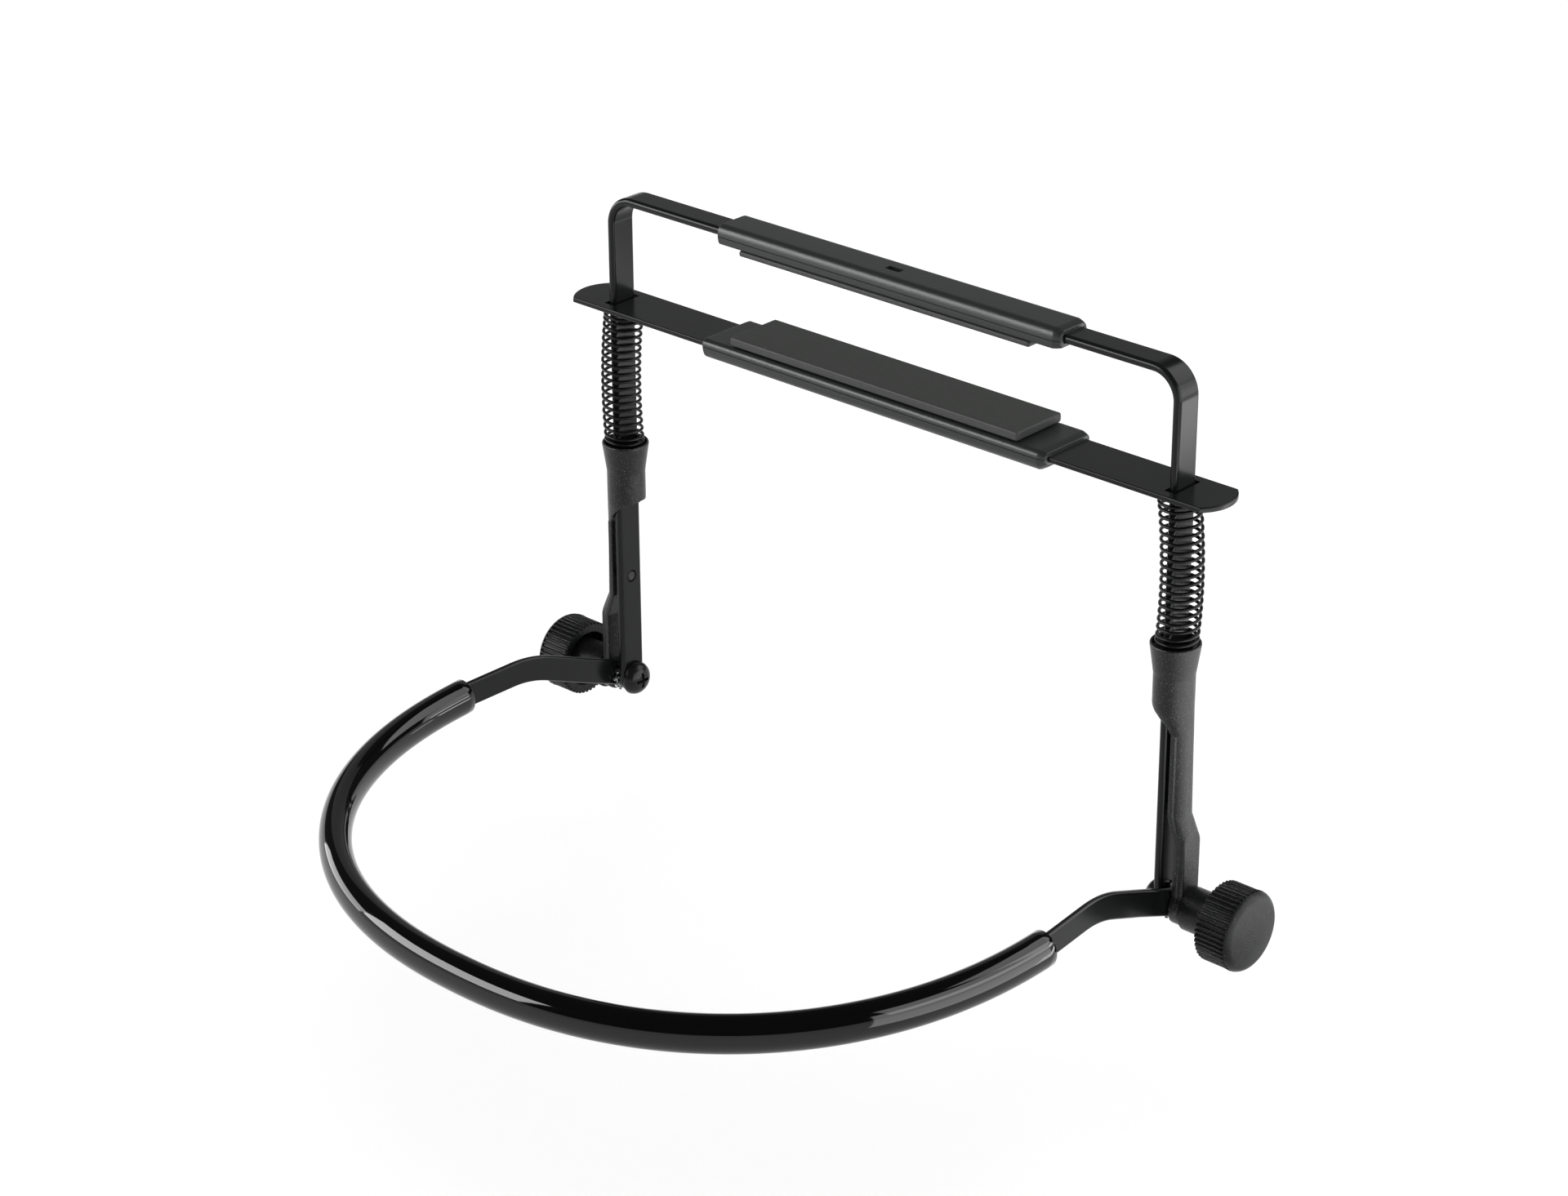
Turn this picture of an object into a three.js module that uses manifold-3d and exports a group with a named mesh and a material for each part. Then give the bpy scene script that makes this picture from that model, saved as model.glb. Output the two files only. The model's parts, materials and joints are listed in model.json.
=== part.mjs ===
// Harmonica holder worn round the neck: a sprung clamp frame that tilts on a flat neck bow.
// Millimetres. +X is the wearer's right, +Y points away from the wearer, +Z is up.
// Pieces are drawn round the line through both clamp screws, the pivot line, and the whole
// holder is then set down with its origin on the inner side of the neck tube, at the back.

import * as THREE from 'three';
import { mergeVertices } from 'three/addons/utils/BufferGeometryUtils.js';
import Module from 'manifold-3d';

// Flat bars that the frame and the neck bow are bent from
const barWidth = 8.4;
const barThickness = 2.5;
const barEdgeRadius = 1.1;
const neckBarWidth = 7.5;
const neckBarThickness = 1.6;
const neckBarEdgeRadius = 0.6;

// Upright frame, measured from the pivot line
const frameWidth = 198;
const frameHeight = 149.7;
const frameBendRadius = 9;

// Sliding lower jaw
const jawOverhang = 13.5;
const jawWidth = 16;
const jawThickness = 1.5;
const jawEndRadius = 11;
const jawEdgeRadius = 0.45;
const slotSideClearance = 0.55;
const slotEndClearance = 1.2;

// Grip sleeves and the soft pads that face each other across the gap for the instrument
const instrumentGap = 22;
const upperGripLength = 114.4;
const upperGripShift = 2.6;
const upperCrownWall = 1.6;
const lowerGripLength = 116;
const lowerGripShift = 0.8;
const lowerCrownWall = 2.9;
const gripLeftEnd = 1;
const gripRightEnd = 2.5;
const gripSideWall = 2;
const gripBaseWall = 1.5;
const gripEndWall = 0.9;
const gripSeamDepth = 0.35;
const gripWindowLength = 4.9;
const gripWindowWidth = 2.2;
const padLength = 100;
const padShift = 2;
const padInset = 0.9;
const upperPadThickness = 1.6;
const lowerPadThickness = 2.6;
const padEdgeRadius = 0.6;

// Springs on the legs
const springDiameter = 11.5;
const springWire = 0.9;
const springPitch = 2.25;
const springDeadTurns = 1.5;
const springDeadPitch = 1.4;
const springEndBend = 0.9;
const springTopLean = 0.7;
const springBow = 1.2;

// Moulded arms outside the legs
const armCupDiameter = 13.4;
const armCupHeight = 74.6;
const armCupLip = 0.6;
const armCupDepth = 2.4;
const armFlareLength = 8.3;
const armTubeDiameter = 11;
const armCutTop = 57.3;
const armCutLength = 7.5;
const armRimGap = 1.2;
const armRimWidth = 8;
const armRimDepth = 1.5;
const armRibWidth = 7.4;
const armRibRadius = 3.1;
const armRibTopDepth = 3.35;
const armRibFootDepth = 3.85;
const armJogHeight = 26.3;
const armJogLength = 7.1;
const armFootThickness = 3.2;
const armFootRadius = 2.6;
const armEndDiameter = 10.6;
const armChannelWidth = 4.6;
const armChannelDepth = 2;
const armPegDiameter = 3;
const armPegHeight = 32.5;

// Clamp screws, lock washers and knobs on the pivot line
const screwDiameter = 4.9;
const screwHeadDiameter = 9.8;
const screwHeadHeight = 3.6;
const screwCrossWidth = 0.9;
const screwCrossSpan = 4.4;
const screwCrossDepth = 1.5;
const washerDiameter = 9.8;
const washerThickness = 0.7;
const washerTeeth = 12;
const washerToothWidth = 1.1;
const washerToothTwist = 22;
const knobDiameter = 22.3;
const knobRibDiameter = 22;
const knobRibDepth = 0.55;
const knobRibs = 46;
const knobHubDiameter = 12;
const knobHubLength = 9.1;
const knobRingWall = 2.3;
const knobRecessDepth = 6.4;
const knobRibLength = 8.4;
const knobEdgeRadius = 2.6;
const knobCrown = 0.7;
const insertDiameter = 7;
const insertLength = 10;
const screwReach = 12;

// Neck bow and its vinyl tube
const neckRiseAngle = 22;
const neckRiseReach = 35;
const neckBendReach = 3;
const neckDroopAngle = 2;
const neckStraightReach = 58.2;
const neckHalfWidth = 104.7;
const neckArcDepth = 103.1;
const neckArcExponent = 2.19;
const neckFlareReach = 15;
const tubeWidth = 8.8;
const tubeHeight = 10.3;
const tubeWall = 0.85;
const tubeStartReach = 59.3;

// Clearances and facets
const fitGap = 0.3;
const overrun = 1;
const roundSteps = 24;
const mergeTolerance = 1e-5;

// Places that follow from the sizes above
const legX = (frameWidth - barThickness) / 2;
const legOuter = barThickness / 2;
const neckInner = legOuter + fitGap + washerThickness + fitGap + washerThickness / 2;
const neckBarX = legX + neckInner + neckBarThickness / 2;
const armRimUpper = legOuter + armRimGap;
const armRimLower = neckInner + neckBarThickness + fitGap;
const armFacet = armRimLower + armFootThickness;
const knobStart = armFacet + fitGap;
const upperSeat = barThickness + gripBaseWall + fitGap + upperPadThickness;
const lowerSeat = lowerPadThickness + fitGap + gripBaseWall;
const jawLength = frameWidth + 2 * jawOverhang;
const jawHeight = frameHeight - upperSeat - instrumentGap - lowerSeat;
const springFoot = armCupHeight - armCupDepth + fitGap;
const springTop = jawHeight - jawThickness - fitGap;

const wasm = await Module();
wasm.setup();

const xAxis = new THREE.Vector3(1, 0, 0);
const yAxis = new THREE.Vector3(0, 1, 0);
const zAxis = new THREE.Vector3(0, 0, 1);

// Solids: closed triangle meshes joined and cut

function weld(geometry) {
  const bare = geometry.index ? geometry.toNonIndexed() : geometry.clone();
  for (const name of Object.keys(bare.attributes)) {
    if (name !== 'position') bare.deleteAttribute(name);
  }
  const merged = mergeVertices(bare, mergeTolerance);
  const corners = merged.index.array;
  const kept = [];
  for (let i = 0; i < corners.length; i += 3) {
    const [a, b, c] = [corners[i], corners[i + 1], corners[i + 2]];
    if (a !== b && b !== c && c !== a) kept.push(a, b, c);
  }
  merged.setIndex(kept);
  return merged;
}

function toSolid(geometry) {
  const merged = weld(geometry);
  const mesh = new wasm.Mesh({
    numProp: 3,
    vertProperties: new Float32Array(merged.attributes.position.array),
    triVerts: new Uint32Array(merged.index.array),
  });
  return new wasm.Manifold(mesh);
}

function toGeometry(body) {
  const mesh = body.getMesh();
  const geometry = new THREE.BufferGeometry();
  geometry.setAttribute('position', new THREE.BufferAttribute(mesh.vertProperties, 3));
  geometry.setIndex(new THREE.BufferAttribute(mesh.triVerts, 1));
  return geometry;
}

function join(...geometries) {
  return toGeometry(geometries.map(toSolid).reduce((whole, piece) => whole.add(piece)));
}

function cut(geometry, ...tools) {
  return toGeometry(tools.map(toSolid).reduce((rest, tool) => rest.subtract(tool), toSolid(geometry)));
}

function keep(geometry, region) {
  return toGeometry(toSolid(geometry).intersect(toSolid(region)));
}

function mirrored(geometry) {
  const copy = weld(geometry).applyMatrix4(new THREE.Matrix4().makeScale(-1, 1, 1));
  const corners = copy.index.array;
  for (let i = 0; i < corners.length; i += 3) {
    [corners[i], corners[i + 1]] = [corners[i + 1], corners[i]];
  }
  return copy;
}

// Outlines: counter-clockwise points across a run

function roundedRectangle(width, height, radius, steps) {
  const points = [];
  const corners = [[1, -1], [1, 1], [-1, 1], [-1, -1]];
  for (const [quarter, [across, up]] of corners.entries()) {
    for (let i = 0; i <= steps; i++) {
      const angle = (quarter - 1 + i / steps) * Math.PI / 2;
      points.push(new THREE.Vector2(
        across * (width / 2 - radius) + radius * Math.cos(angle),
        up * (height / 2 - radius) + radius * Math.sin(angle),
      ));
    }
  }
  return points;
}

function oval(width, height, steps) {
  return Array.from({ length: steps }, (_, i) => {
    const angle = 2 * Math.PI * i / steps;
    return new THREE.Vector2(width / 2 * Math.cos(angle), height / 2 * Math.sin(angle));
  });
}

// A loft joins stations, each an outline in its own frame, and closes both ends

function station(outline, origin, across, up) {
  return { outline, origin, across, up };
}

function loft(stations) {
  const positions = [];
  const corners = [];
  const count = stations[0].outline.length;
  for (const { outline, origin, across, up } of stations) {
    for (const point of outline) {
      const place = origin.clone().addScaledVector(across, point.x).addScaledVector(up, point.y);
      positions.push(place.x, place.y, place.z);
    }
  }
  for (let i = 0; i + 1 < stations.length; i++) {
    for (let j = 0; j < count; j++) {
      const a = i * count + j;
      const b = i * count + (j + 1) % count;
      corners.push(a, b, a + count, b, b + count, a + count);
    }
  }
  const last = (stations.length - 1) * count;
  for (const [a, b, c] of THREE.ShapeUtils.triangulateShape(stations[0].outline, [])) {
    corners.push(a, c, b);
  }
  for (const [a, b, c] of THREE.ShapeUtils.triangulateShape(stations.at(-1).outline, [])) {
    corners.push(last + a, last + b, last + c);
  }
  const geometry = new THREE.BufferGeometry();
  geometry.setAttribute('position', new THREE.Float32BufferAttribute(positions, 3));
  geometry.setIndex(corners);
  return geometry;
}

function alongX(outline, from, to) {
  const ends = [from, to].map((x) => station(outline, new THREE.Vector3(x, 0, 0), yAxis, zAxis));
  return loft(ends);
}

function alongY(outline, halfWidth) {
  const depth = 2 * halfWidth;
  const geometry = new THREE.ExtrudeGeometry(new THREE.Shape(outline), { depth, bevelEnabled: false });
  geometry.applyMatrix4(new THREE.Matrix4().makeBasis(xAxis, zAxis, yAxis.clone().negate()));
  return geometry.translate(0, halfWidth, 0);
}

function roundAlongX(radius, from, to) {
  return new THREE.CylinderGeometry(radius, radius, to - from, roundSteps)
    .rotateZ(-Math.PI / 2)
    .translate((from + to) / 2, 0, 0);
}

function revolveAlongX(profile) {
  return new THREE.LatheGeometry(profile, roundSteps).rotateZ(-Math.PI / 2);
}

function box(low, high) {
  const size = high.clone().sub(low);
  const middle = high.clone().add(low).multiplyScalar(0.5);
  return new THREE.BoxGeometry(size.x, size.y, size.z).translate(middle.x, middle.y, middle.z);
}

// Upright frame: one flat bar bent to a staple, round at both feet

const barSteps = 3;
const bendSteps = 7;

function staplePath() {
  const bend = frameBendRadius - legOuter;
  const top = frameHeight - legOuter;
  const point = (x, z) => new THREE.Vector3(x, 0, z);
  const places = [point(-legX, 0)];
  for (const side of [-1, 1]) {
    for (let i = 0; i <= bendSteps; i++) {
      const turn = side < 0 ? Math.PI - Math.PI / 2 * i / bendSteps : Math.PI / 2 * (1 - i / bendSteps);
      const centreX = side * (legX - bend);
      places.push(point(centreX + bend * Math.cos(turn), top - bend + bend * Math.sin(turn)));
    }
  }
  places.push(point(legX, 0));
  return places;
}

function tangents(places) {
  return places.map((place, i) => {
    const before = places[Math.max(i - 1, 0)];
    const after = places[Math.min(i + 1, places.length - 1)];
    const back = place.clone().sub(before).normalize();
    const ahead = after.clone().sub(place).normalize();
    return back.add(ahead).normalize();
  });
}

function frameBow() {
  const places = staplePath();
  const directions = tangents(places);
  const outline = roundedRectangle(barThickness, barWidth, barEdgeRadius, barSteps);
  const bar = loft(places.map((place, i) => {
    const inward = new THREE.Vector3().crossVectors(yAxis, directions[i]);
    return station(outline, place, inward, yAxis);
  }));
  const feet = [-legX, legX].map((x) => roundAlongX(barWidth / 2, x - legOuter, x + legOuter));
  const holes = [-legX, legX].flatMap((x) => [
    roundAlongX(screwDiameter / 2 + fitGap, x - barThickness, x + barThickness),
    roundAlongX(armPegDiameter / 2 + fitGap, x - barThickness, x + barThickness)
      .translate(0, 0, armPegHeight),
  ]);
  return cut(join(bar, ...feet), ...holes);
}

// Grip sleeve: a soft moulding over a flat core, crowned away from the gap between the jaws

const crownFlatShare = 0.6;
const baseFlatShare = 0.82;
const seamShare = 0.1;
const sleeveCurveSteps = 4;

function sleeveOutline(core, widthScale, crownScale, baseScale) {
  const side = (core.width / 2 + gripSideWall) * widthScale;
  const crown = (core.thickness / 2 + core.crownWall) * crownScale;
  const base = (core.thickness / 2 + gripBaseWall) * baseScale;
  const seam = -base * seamShare;
  const shape = new THREE.Shape();
  shape.moveTo(side * crownFlatShare, crown);
  shape.lineTo(-side * crownFlatShare, crown);
  shape.quadraticCurveTo(-side, crown, -side, seam + gripSeamDepth / 2);
  shape.lineTo(-side + gripSeamDepth, seam);
  shape.lineTo(-side, seam - gripSeamDepth / 2);
  shape.quadraticCurveTo(-side, -base, -side * baseFlatShare, -base);
  shape.lineTo(side * baseFlatShare, -base);
  shape.quadraticCurveTo(side, -base, side, seam);
  shape.quadraticCurveTo(side, crown, side * crownFlatShare, crown);
  const points = shape.getPoints(sleeveCurveSteps).slice(0, -1);
  if (core.crownSide > 0) return points;
  return points.map((point) => new THREE.Vector2(point.x, -point.y)).reverse();
}

function gripSleeve(core) {
  const full = sleeveOutline(core, 1, 1, 1);
  const end = sleeveOutline(
    core,
    (core.width / 2 + gripEndWall) / (core.width / 2 + gripSideWall),
    (core.thickness / 2 + gripEndWall) / (core.thickness / 2 + core.crownWall),
    (core.thickness / 2 + gripEndWall) / (core.thickness / 2 + gripBaseWall),
  );
  const left = core.gripShift - core.gripLength / 2;
  const right = core.gripShift + core.gripLength / 2;
  const stations = [
    [end, left - gripLeftEnd],
    [full, left],
    [full, right],
    [end, right + gripRightEnd],
  ];
  const body = loft(stations.map(([outline, x]) => (
    station(outline, new THREE.Vector3(x, 0, core.height), yAxis, zAxis))));
  const bore = new THREE.BoxGeometry(
    core.gripLength + 2 * (gripRightEnd + overrun),
    core.width + 2 * fitGap,
    core.thickness + 2 * fitGap,
  ).translate(core.gripShift, 0, core.height);
  return cut(body, bore);
}

function upperSleeve() {
  const crown = frameHeight + upperCrownWall;
  const window = box(
    new THREE.Vector3(upperGripShift - gripWindowLength / 2, -gripWindowWidth / 2, frameHeight),
    new THREE.Vector3(upperGripShift + gripWindowLength / 2, gripWindowWidth / 2, crown + overrun),
  );
  return cut(gripSleeve(upperCore), window);
}

const upperCore = {
  width: barWidth,
  thickness: barThickness,
  height: frameHeight - barThickness / 2,
  crownSide: 1,
  crownWall: upperCrownWall,
  gripLength: upperGripLength,
  gripShift: upperGripShift,
  padThickness: upperPadThickness,
};
const lowerCore = {
  width: jawWidth,
  thickness: jawThickness,
  height: jawHeight - jawThickness / 2,
  crownSide: -1,
  crownWall: lowerCrownWall,
  gripLength: lowerGripLength,
  gripShift: lowerGripShift,
  padThickness: lowerPadThickness,
};

// Pad: the soft strip on the base of a sleeve that presses on what the jaws hold

const padCornerSteps = 2;

function gripPad(core) {
  const width = core.width + 2 * (gripSideWall - padInset);
  const outline = roundedRectangle(width, core.padThickness, padEdgeRadius, padCornerSteps);
  const small = roundedRectangle(width - padEdgeRadius, core.padThickness - padEdgeRadius,
    padEdgeRadius / 2, padCornerSteps);
  const seat = core.thickness / 2 + gripBaseWall + fitGap + core.padThickness / 2;
  const height = core.height - core.crownSide * seat;
  const stations = [
    [small, -padLength / 2],
    [outline, -padLength / 2 + padEdgeRadius],
    [outline, padLength / 2 - padEdgeRadius],
    [small, padLength / 2],
  ];
  return weld(loft(stations.map(([ring, x]) => (
    station(ring, new THREE.Vector3(x + padShift, 0, height), yAxis, zAxis)))));
}

// Lower jaw plate: round ended, with a slot for each leg

const jawArcSteps = 10;

function jawOutline(inset) {
  const radius = jawEndRadius - inset;
  const reach = Math.asin((jawWidth / 2 - inset) / radius);
  const centre = jawLength / 2 - jawEndRadius;
  const points = [];
  for (const [middle, turn] of [[centre, 0], [-centre, Math.PI]]) {
    for (let i = 0; i <= jawArcSteps; i++) {
      const angle = turn - reach + 2 * reach * i / jawArcSteps;
      points.push(new THREE.Vector2(middle + radius * Math.cos(angle), radius * Math.sin(angle)));
    }
  }
  return points;
}

function jawPlate() {
  const under = jawHeight - jawThickness;
  const levels = [
    [jawEdgeRadius, under],
    [0, under + jawEdgeRadius],
    [0, jawHeight - jawEdgeRadius],
    [jawEdgeRadius, jawHeight],
  ];
  const plate = loft(levels.map(([inset, z]) => (
    station(jawOutline(inset), new THREE.Vector3(0, 0, z), xAxis, yAxis))));
  const halfWidth = barThickness / 2 + slotSideClearance;
  const halfLength = barWidth / 2 + slotEndClearance;
  const slots = [-legX, legX].map((x) => box(
    new THREE.Vector3(x - halfWidth, -halfLength, under - overrun),
    new THREE.Vector3(x + halfWidth, halfLength, jawHeight + overrun),
  ));
  return cut(plate, ...slots);
}

// Springs: one unbroken wire each, closed up at both ends, with upright wire ends

const curlSteps = 12;
const wireSides = 5;
const endBendSteps = 3;

function springPath() {
  const radius = (springDiameter - springWire) / 2;
  const rise = springEndBend + springWire;
  const foot = springFoot + rise;
  const top = springTop - rise;
  const openHeight = top - foot - 2 * springDeadTurns * springDeadPitch;
  const openTurns = Math.round(openHeight / springPitch);
  const openPitch = openHeight / openTurns;
  const springTurns = openTurns + 2 * springDeadTurns;
  const heightAt = (turn) => {
    const dead = Math.min(turn, springDeadTurns);
    const open = Math.min(Math.max(turn - springDeadTurns, 0), openTurns);
    const closing = Math.max(turn - springDeadTurns - openTurns, 0);
    return foot + (dead + closing) * springDeadPitch + open * openPitch;
  };
  const at = (turn) => {
    const angle = 2 * Math.PI * turn;
    return new THREE.Vector3(radius * Math.cos(angle), radius * Math.sin(angle), heightAt(turn));
  };
  const places = [];
  const first = at(0);
  const last = at(springTurns);
  const lastAngle = 2 * Math.PI * springTurns;
  const lastHeading = new THREE.Vector3(-Math.sin(lastAngle), Math.cos(lastAngle), 0);
  places.push(first.clone().addScaledVector(yAxis, -springEndBend).addScaledVector(zAxis, -rise));
  for (let i = 0; i < endBendSteps; i++) {
    const angle = Math.PI / 2 * i / endBendSteps;
    places.push(first.clone()
      .addScaledVector(yAxis, -springEndBend * Math.cos(angle))
      .addScaledVector(zAxis, -springEndBend * (1 - Math.sin(angle))));
  }
  for (let i = 0; i <= springTurns * curlSteps; i++) places.push(at(i / curlSteps));
  for (let i = endBendSteps - 1; i >= 0; i--) {
    const angle = Math.PI / 2 * i / endBendSteps;
    places.push(last.clone()
      .addScaledVector(lastHeading, springEndBend * Math.cos(angle))
      .addScaledVector(zAxis, springEndBend * (1 - Math.sin(angle))));
  }
  places.push(last.clone().addScaledVector(lastHeading, springEndBend).addScaledVector(zAxis, rise));
  return places;
}

// A spring leans towards the middle of the holder at the top and bows outward on the way
function springLean(height) {
  const share = (height - springFoot) / (springTop - springFoot);
  return 4 * springBow * share * (1 - share) - springTopLean * share;
}

function leastSelfGap(places, near) {
  let least = Infinity;
  for (let i = 0; i < places.length; i++) {
    let travelled = 0;
    for (let j = i + 1; j < places.length; j++) {
      travelled += places[j].distanceTo(places[j - 1]);
      if (travelled > near) least = Math.min(least, places[i].distanceTo(places[j]));
    }
  }
  return least - springWire;
}

function spring() {
  const places = springPath();
  const directions = tangents(places);
  const outline = oval(springWire, springWire, wireSides);
  const stations = places.map((place, i) => {
    const outward = new THREE.Vector3(place.x, place.y, 0).normalize();
    const along = directions[i];
    const across = outward.addScaledVector(along, -outward.dot(along)).normalize();
    const up = new THREE.Vector3().crossVectors(along, across);
    return station(outline, place.clone().setX(place.x + springLean(place.z)), across, up);
  });
  const gap = leastSelfGap(places, springDiameter);
  console.log(`spring: least gap between curls ${gap.toFixed(2)} mm`);
  return weld(loft(stations)).translate(legX, 0, 0);
}

// Moulded arm for the right leg: spring cup, tube round the leg, open rib and round foot.
// x is measured outward from the middle of the leg.

const flareSteps = 4;
const armCornerSteps = 5;
const cutControlShare = [0.77, 0.37];
const cutSteps = 5;
const ribEndShare = 0.25;

function armSection(inner, crest, width, radius, height) {
  const outline = roundedRectangle(crest - inner, width, radius, armCornerSteps);
  return station(outline, new THREE.Vector3((inner + crest) / 2, 0, height), xAxis, yAxis);
}

function armRound(diameter, height) {
  return armSection(-diameter / 2, diameter / 2, diameter, diameter / 2, height);
}

function armForm() {
  const ribInner = armRimUpper - armRibRadius;
  const footInner = armRimLower - armRibRadius;
  const footCrest = armFacet + armFootRadius / 2;
  const flareFoot = armCupHeight - armCupLip - armFlareLength;
  const cutBottom = armCutTop - armCutLength;
  const stations = [
    armSection(footInner, footCrest, armRibWidth, armFootRadius, 0),
    armSection(footInner, footCrest, armRibWidth, armFootRadius, armJogHeight - armJogLength),
    armSection(ribInner, armRimUpper + armRibFootDepth, armRibWidth, armRibRadius, armJogHeight),
    armSection(ribInner, armRimUpper + armRibTopDepth, armRibWidth, armRibRadius,
      cutBottom - armCutLength * ribEndShare),
    armRound(armTubeDiameter, armCutTop),
  ];
  for (let i = 0; i <= flareSteps; i++) {
    const share = i / flareSteps;
    const diameter = THREE.MathUtils.lerp(armTubeDiameter, armCupDiameter, share);
    stations.push(armRound(diameter, flareFoot + armFlareLength * share));
  }
  stations.push(armRound(armCupDiameter, armCupHeight));
  return loft(stations);
}

// The arm's side view: its inner edge runs down the tube, slants in to the rib's rim and steps
// out at the jog, and its outer edge is the flat on the foot.
function armEdge(setOut) {
  const cutBottom = armCutTop - armCutLength;
  const tubeSide = -armTubeDiameter / 2;
  const slant = new THREE.QuadraticBezierCurve(
    new THREE.Vector2(tubeSide, armCutTop),
    new THREE.Vector2(
      THREE.MathUtils.lerp(tubeSide, armRimUpper, cutControlShare[0]),
      THREE.MathUtils.lerp(armCutTop, cutBottom, cutControlShare[1]),
    ),
    new THREE.Vector2(armRimUpper, cutBottom),
  ).getPoints(cutSteps);
  const rim = [
    new THREE.Vector2(armRimUpper, armJogHeight),
    new THREE.Vector2(armRimLower, armJogHeight - armJogLength),
    new THREE.Vector2(armRimLower, -armEndDiameter),
  ];
  const shift = new THREE.Vector2(setOut, 0);
  return { slant, rim: rim.map((point) => point.clone().add(shift)) };
}

function armSide() {
  const { slant, rim } = armEdge(0);
  const far = -armCupDiameter / 2 - overrun;
  const top = armCupHeight + overrun;
  const outline = [
    new THREE.Vector2(armFacet, -armEndDiameter),
    new THREE.Vector2(armFacet, top),
    new THREE.Vector2(far, top),
    new THREE.Vector2(far, armCutTop),
    ...slant,
    ...rim,
  ];
  return alongY(outline, armCupDiameter);
}

function armLips() {
  const inner = armEdge(0).rim;
  const outer = armEdge(armRimDepth).rim;
  const cutBottom = armCutTop - armCutLength;
  const outline = [
    new THREE.Vector2(armRimUpper, cutBottom),
    ...inner.slice(0, 2),
    new THREE.Vector2(armRimLower, 0),
    new THREE.Vector2(armRimLower + armRimDepth, 0),
    ...outer.slice(0, 2).reverse(),
    new THREE.Vector2(armRimUpper + armRimDepth, cutBottom + armRimDepth),
  ];
  return alongY(outline, armRimWidth / 2);
}

function arm() {
  const foot = roundAlongX(armEndDiameter / 2, armRimLower, armFacet);
  const form = keep(join(armForm(), armLips(), foot), armSide());
  const legHalf = legOuter + fitGap;
  const slot = box(
    new THREE.Vector3(-legHalf, -barWidth / 2 - fitGap, armJogHeight),
    new THREE.Vector3(legHalf, barWidth / 2 + fitGap, armCupHeight + overrun),
  );
  const cup = new THREE.CylinderGeometry(
    springDiameter / 2 + fitGap, springDiameter / 2 + fitGap, armCupDepth + overrun, roundSteps,
  ).rotateX(Math.PI / 2).translate(0, 0, armCupHeight + (overrun - armCupDepth) / 2);
  const channel = box(
    new THREE.Vector3(0, -armChannelWidth / 2, armJogHeight + armRimDepth),
    new THREE.Vector3(armRimUpper + armChannelDepth, armChannelWidth / 2, armCutTop),
  );
  const peg = roundAlongX(armPegDiameter / 2, -legOuter, armRimUpper + armChannelDepth + armRimDepth)
    .translate(0, 0, armPegHeight);
  const hole = roundAlongX(screwDiameter / 2 + fitGap, 0, armFacet + overrun);
  return join(cut(form, slot, cup, channel, hole), peg).translate(legX, 0, 0);
}

// Clamp screw: domed head inside the leg, shank out to the knob

const headSteps = 5;

function clampScrew() {
  const seat = legX - legOuter - fitGap;
  const tip = legX + knobStart + screwReach;
  const headRadius = screwHeadDiameter / 2;
  const profile = [new THREE.Vector2(0, tip), new THREE.Vector2(screwDiameter / 2, tip)];
  profile.push(new THREE.Vector2(screwDiameter / 2, seat));
  for (let i = 0; i <= headSteps; i++) {
    const angle = Math.PI / 2 * i / headSteps;
    profile.push(new THREE.Vector2(headRadius * Math.cos(angle), seat - screwHeadHeight * Math.sin(angle)));
  }
  profile.reverse();
  const top = seat - screwHeadHeight;
  const slotFor = (halfY, halfZ) => box(
    new THREE.Vector3(top - overrun, -halfY, -halfZ),
    new THREE.Vector3(top + screwCrossDepth, halfY, halfZ),
  );
  return cut(
    revolveAlongX(profile),
    slotFor(screwCrossWidth / 2, screwCrossSpan / 2),
    slotFor(screwCrossSpan / 2, screwCrossWidth / 2),
  );
}

// Lock washer between leg and neck bow: a ring with twisted teeth

const washerRingShare = 0.8;

function lockWasher() {
  const ringRadius = washerDiameter / 2 * washerRingShare;
  const holeRadius = screwDiameter / 2 + fitGap;
  const middle = legX + (legOuter + neckInner) / 2;
  const half = washerThickness / 2;
  const teeth = Array.from({ length: washerTeeth }, (_, i) => (
    new THREE.BoxGeometry(washerThickness, washerToothWidth, washerDiameter / 2 - holeRadius)
      .rotateZ(THREE.MathUtils.degToRad(washerToothTwist))
      .translate(0, 0, (washerDiameter / 2 + holeRadius) / 2)
      .rotateX(2 * Math.PI * i / washerTeeth)));
  const ring = roundAlongX(ringRadius, -half, half);
  const hole = roundAlongX(holeRadius, -washerThickness, washerThickness);
  return cut(join(ring, ...teeth), hole).translate(middle, 0, 0);
}

// Knob: hub towards the arm, hollow ring with ribs, smooth domed cap

const domeSteps = 5;
const ribTopShare = 0.4;

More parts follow.
